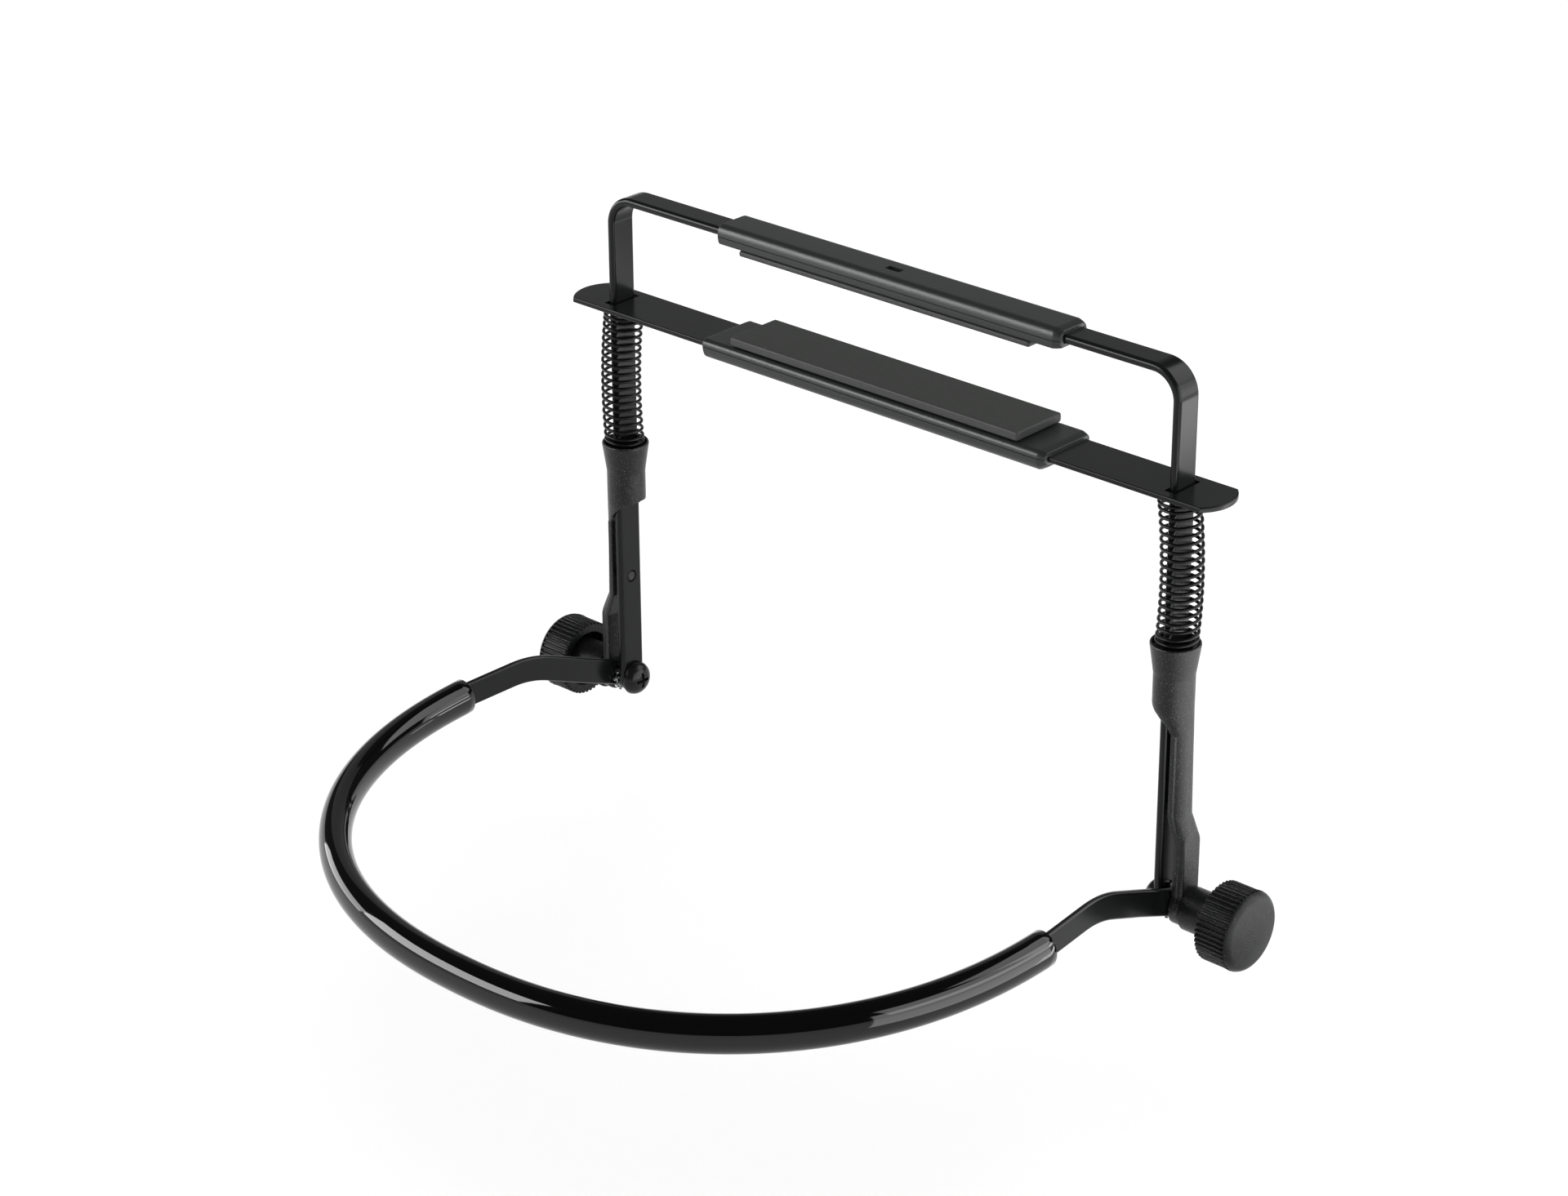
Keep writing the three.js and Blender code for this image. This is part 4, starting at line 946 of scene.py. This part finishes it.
def studio():
    paperWhite, paperRough = (0.95, 0.95, 0.95, 1), 0.9
    worldLevel, horizonLevel = 0.06, 1  # overhead, and up to a little over the horizon
    horizonRise = (0.07, 0.12)  # where the one gives way to the other, as the height of a direction
    reach = 2.8  # of the floor, to each side
    # the clamp frame folds down under the neck bow, so the floor leaves room for it
    foldRoom = 0.039
    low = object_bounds()[0][2] - foldRoom
    corners = [(x * reach, y * reach, low) for x, y in ((-1, -1), (1, -1), (1, 1), (-1, 1))]
    mesh = bpy.data.meshes.new("studioFloor")
    mesh.from_pydata(corners, [], [(0, 1, 2, 3)])
    floor = bpy.data.objects.new("studioFloor", mesh)
    bpy.context.scene.collection.objects.link(floor)
    paper = bpy.data.materials.new("white paper")
    paper.use_nodes = True
    shader = paper.node_tree.nodes["Principled BSDF"]
    shader.inputs["Base Color"].default_value = paperWhite
    shader.inputs["Roughness"].default_value = paperRough
    mesh.materials.append(paper)
    floor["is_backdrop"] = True
    # place and aim in metres from the pivot, where no aim means straight across;
    # the fill lights the pieces, and the panels show in their gloss
    lamps = {
        "fill": {"place": (0, 0, 3), "aim": (0, 0, 0), "size": (14, 14), "power": 762, "panel": False},
        "rightLegs": {"place": (0.22, 0.175, 0.058), "size": (0.25, 0.034), "power": 0.16},
        "rightRibs": {"place": (0.22, 0.15, -0.03), "size": (0.25, 0.034), "power": 0.21},
        "leftLeg": {"place": (0.15, 0.27, -0.034), "size": (0.1, 0.03), "power": 0.03},
        "rightNear": {"place": (0.22, -0.045, 0.015), "size": (0.19, 0.12), "power": 0.26},
        "rightPanel": {"place": (0.34, 0.18, 0.17), "size": (0.64, 0.19), "power": 1.2},
        "backPanel": {"place": (0.55, 0.8, 0.85), "aim": (0, -0.05, 0), "size": (1, 0.8), "power": 7},
        "frontPanel": {"place": (-0.71, -0.87, 0.42), "aim": (0, -0.1, 0), "size": (0.95, 0.5), "power": 15},
        "leftPanel": {"place": (-0.98, -0.28, 0.18), "aim": (0, -0.15, 0), "size": (0.5, 0.3), "power": 2.4},
        "farPanel": {"place": (-0.86, 0.93, 0.6), "aim": (0, 0, 0), "size": (1.2, 0.7), "power": 0.68},
    }
    for name, lamp in lamps.items():
        light = bpy.data.lights.new(name, "AREA")
        light.shape = "RECTANGLE"
        light.size, light.size_y = lamp["size"]
        light.energy = lamp["power"]
        stand = bpy.data.objects.new(name, light)
        place = Vector(lamp["place"])
        aim = Vector(lamp.get("aim", (0, place.y, place.z)))
        stand.location = pivot + place
        stand.rotation_euler = (aim - place).to_track_quat("-Z", "Y").to_euler()
        panel = lamp.get("panel", True)
        stand.visible_glossy = panel
        stand.visible_diffuse = not panel
        stand.visible_camera = False
        bpy.context.scene.collection.objects.link(stand)
    # the world is white a little over the horizon, so that low views end in white, and dim overhead
    world = bpy.data.worlds.new("studio")
    world.use_nodes = True
    tree = world.node_tree
    background = tree.nodes["Background"]
    background.inputs["Color"].default_value = (1, 1, 1, 1)
    direction = addNode(tree, "ShaderNodeTexCoord")
    parts = addNode(tree, "ShaderNodeSeparateXYZ")
    span = {"From Min": horizonRise[0], "From Max": horizonRise[1],
            "To Min": horizonLevel, "To Max": worldLevel}
    strength = addNode(tree, "ShaderNodeMapRange", span)
    tree.links.new(direction.outputs["Generated"], parts.inputs["Vector"])
    tree.links.new(parts.outputs["Z"], strength.inputs["Value"])
    tree.links.new(strength.outputs["Result"], background.inputs["Strength"])
    bpy.context.scene.world = world


def photoCamera():
    view = {"target": (-36.96, 0, 44.23), "distance": 1086.8, "azimuth": 42.53, "elevation": 25.27,
            "roll": -0.31, "lens": 89.81}
    azimuth, elevation, roll = (math.radians(view[k]) for k in ("azimuth", "elevation", "roll"))
    back = Vector((math.sin(azimuth) * math.cos(elevation), -math.cos(azimuth) * math.cos(elevation),
                   math.sin(elevation)))
    right = (-back).cross(zAxis).normalized()
    up = right.cross(-back)
    rolledRight = right * math.cos(roll) + up * math.sin(roll)
    rolledUp = up * math.cos(roll) - right * math.sin(roll)
    place = pivot + (Vector(view["target"]) + back * view["distance"]) * mm
    lens = bpy.data.cameras.new("photoCamera")
    lens.lens = view["lens"]
    lens.sensor_width = 36
    lens.sensor_fit = "HORIZONTAL"
    lens.clip_end = 100
    camera = bpy.data.objects.new("photoCamera", lens)
    rotation = Matrix((rolledRight, rolledUp, back)).transposed()
    camera.matrix_world = Matrix.Translation(place) @ rotation.to_4x4()
    bpy.context.scene.collection.objects.link(camera)
    bpy.context.scene.camera = camera


studio()
photoCamera()
bpy.context.scene.view_settings.view_transform = "Standard"
print("studio and camera set")
